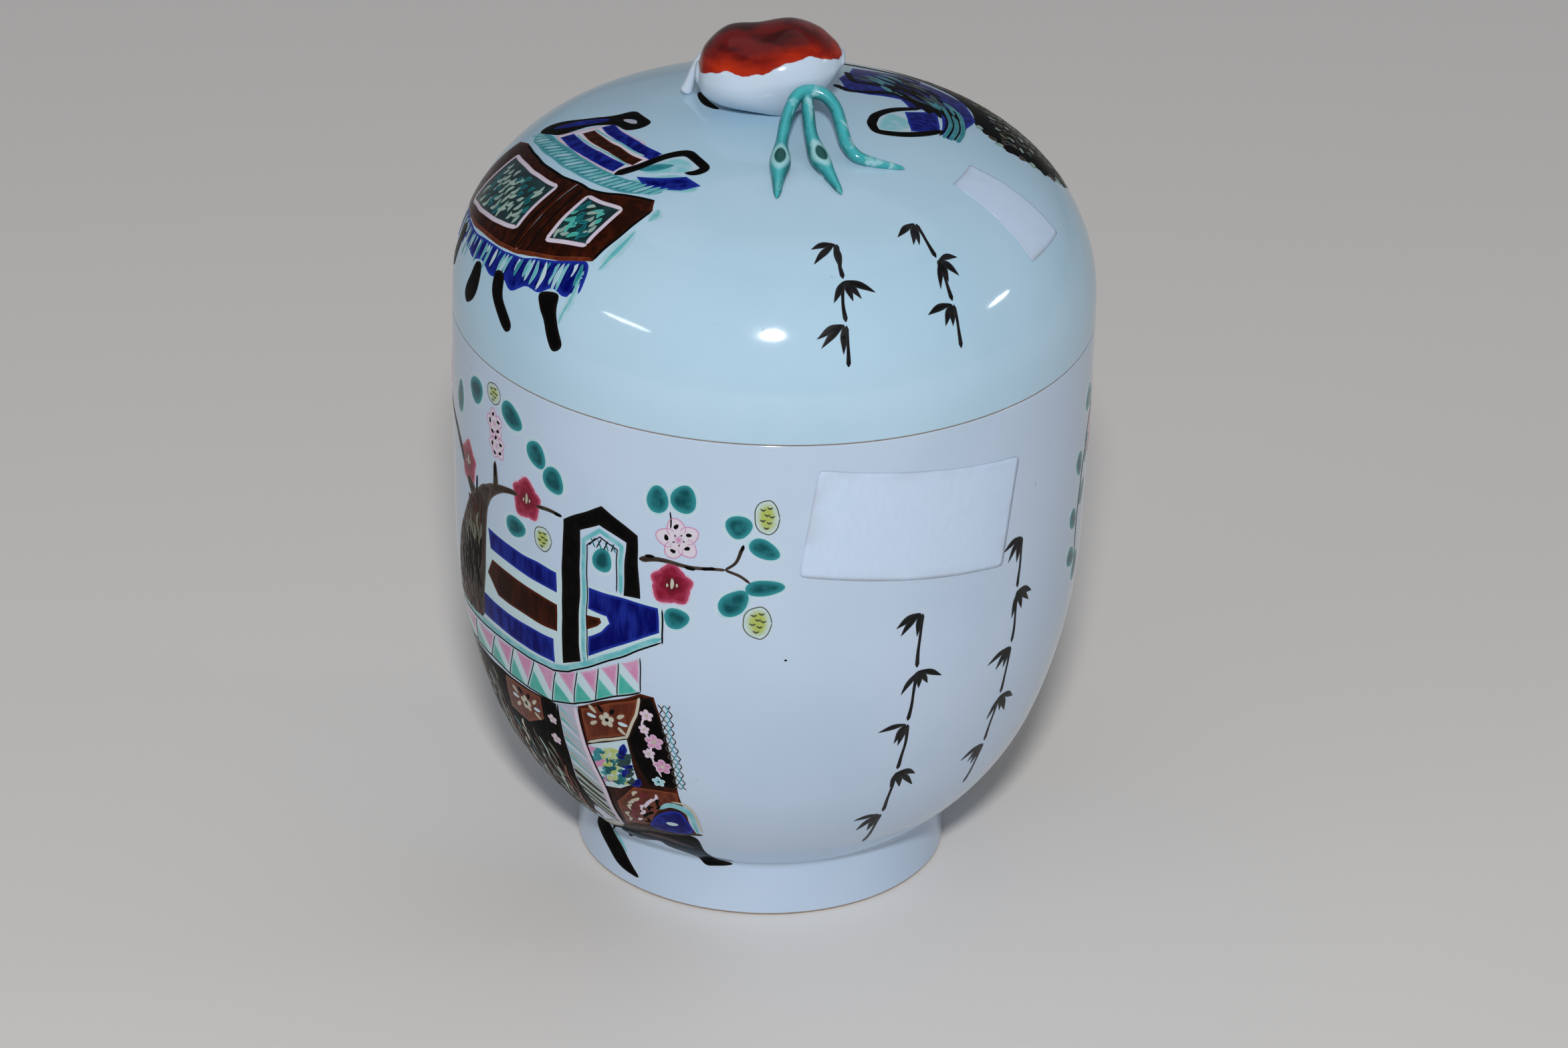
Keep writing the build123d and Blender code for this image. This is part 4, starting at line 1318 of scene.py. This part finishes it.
def ink_bamboo(p, az, low, high, lean):
    """A stalk of bamboo in ink, with leaves that droop in threes and fours from its joints."""
    joint_length, drawn = 13, 0.92
    foot, head = (az, low), (az + lean, high)
    joints = max(3, int((high - low) / joint_length))
    for i in range(joints):
        start, end = between(foot, head, i / joints), between(foot, head, (i + drawn) / joints)
        bow = 0.5 * (rng.random() - 0.5)
        p.line("ink", [start, (start + end) / 2 + [bow, 0], end], (1.1, 0.7, 1))
        side = 1 if i % 2 else -1
        for k in range(3 + i % 2):
            turn = radians(-(20 + 32 * k) + 24 * (rng.random() - 0.5))
            reach = 4.6 + 2.6 * rng.random()
            root = p.about(*end, 0.5 * side, 0.2)
            half = p.about(*root, side * reach * 0.5 * cos(turn), reach * 0.5 * sin(turn) + 0.4)
            tip = p.about(*root, side * reach * cos(turn), reach * sin(turn))
            p.line("ink", [root, half, tip], (0.35, 1.35 + 0.4 * rng.random(), 0.15), 2)


def paint_jar():
    p = Painter("jar", jar_chart)
    for shift in (0, 180):
        p.shift = shift
        planter(p)
        prunus(p)
        ink_bamboo(p, 26.5, 14, 84, 2)
        ink_bamboo(p, 49, 28, 94, 2.5)
    p.finish()


def paint_lid():
    p = Painter("lid", lid_chart)
    lid_box(p)
    lid_bundle(p)
    lid_scroll(p)
    # A single dark stroke high on the left, above the box: a painted shadow in the gap under the knob's left
    # end
    p.line("black", [(-117, 76.2), (-106, 78.8), (-94, 81), (-82, 83)], (0.8, 1.6, 1.8, 0.8))
    ink_bamboo(p, 13.5, 17, 45, 1)
    ink_bamboo(p, 35.5, 17, 47, 1.5)
    ink_bamboo(p, 168, 17, 44, 1.5)
    p.finish()


paint_jar()
paint_lid()


# Stage, light and camera, in metres

floor_reach = 12.0

# Lamps: place, the point that they face, size and power
lamps = {
    "key": ((0.0, -1.72, 1.36), (0, 0, 0.12), (0.2, 0.14), 28),
    "overhead": ((0.1, 0.5, 2.2), (0, 0, 0.1), (2.4, 2.0), 4),
    "left_strip": ((-1.52, -1.0, 0.98), (0, 0, 0.15), (0.7, 0.05), 1.5),
    "right_strip": ((1.9, 0.05, 0.8), (0, 0, 0.15), (0.4, 0.06), 1.5),
}

# Camera: the photograph's viewpoint, worked out from the jar's outline, with its angles in radians
camera_place = (0.0, -1.31805, 0.74805)
pitch, yaw, roll = 0.471477, 0.0026774, 0.0282258
photo_width = 2345
focal_pixels = 10000
sensor_width = 36.0


def make_floor():
    corners = [(-1, -1, 0), (1, -1, 0), (1, 1, 0), (-1, 1, 0)]
    mesh = bpy.data.meshes.new("floor")
    mesh.from_pydata([Vector(corner) * floor_reach for corner in corners], [], [(0, 1, 2, 3)])
    mesh.materials.append(floor_paint())
    floor = add_object("floor", mesh)


def make_lamp(name, place, aim, size, power):
    lamp = bpy.data.lights.new(name, "AREA")
    lamp.shape = "ELLIPSE"
    lamp.size, lamp.size_y = size
    lamp.energy = power
    stand = add_object(name, lamp)
    stand.location = place
    stand.rotation_euler = (Vector(aim) - Vector(place)).to_track_quat("-Z", "Y").to_euler()


def make_world():
    world = bpy.data.worlds.new("studio")
    world.use_nodes = True
    bpy.context.scene.world = world
    sky = world.node_tree.nodes["Background"]
    sky.inputs["Color"].default_value = (0.72, 0.76, 0.82, 1.0)
    sky.inputs["Strength"].default_value = 0.24


def make_camera():
    ahead = Vector((sin(yaw) * cos(pitch), cos(yaw) * cos(pitch), -sin(pitch)))
    level = ahead.cross(Vector((0, 0, 1))).normalized()
    rise = level.cross(ahead)
    right = level * cos(roll) + rise * sin(roll)
    top = rise * cos(roll) - level * sin(roll)
    data = bpy.data.cameras.new("camera")
    data.sensor_fit = "HORIZONTAL"
    data.sensor_width = sensor_width
    data.lens = sensor_width * focal_pixels / photo_width
    camera = add_object("camera", data)
    camera.matrix_world = Matrix((right, top, -ahead)).transposed().to_4x4()
    camera.location = camera_place
    bpy.context.scene.camera = camera


make_floor()
make_world()
for name, settings in lamps.items():
    make_lamp(name, *settings)
make_camera()
bpy.context.scene.view_settings.view_transform = "Standard"
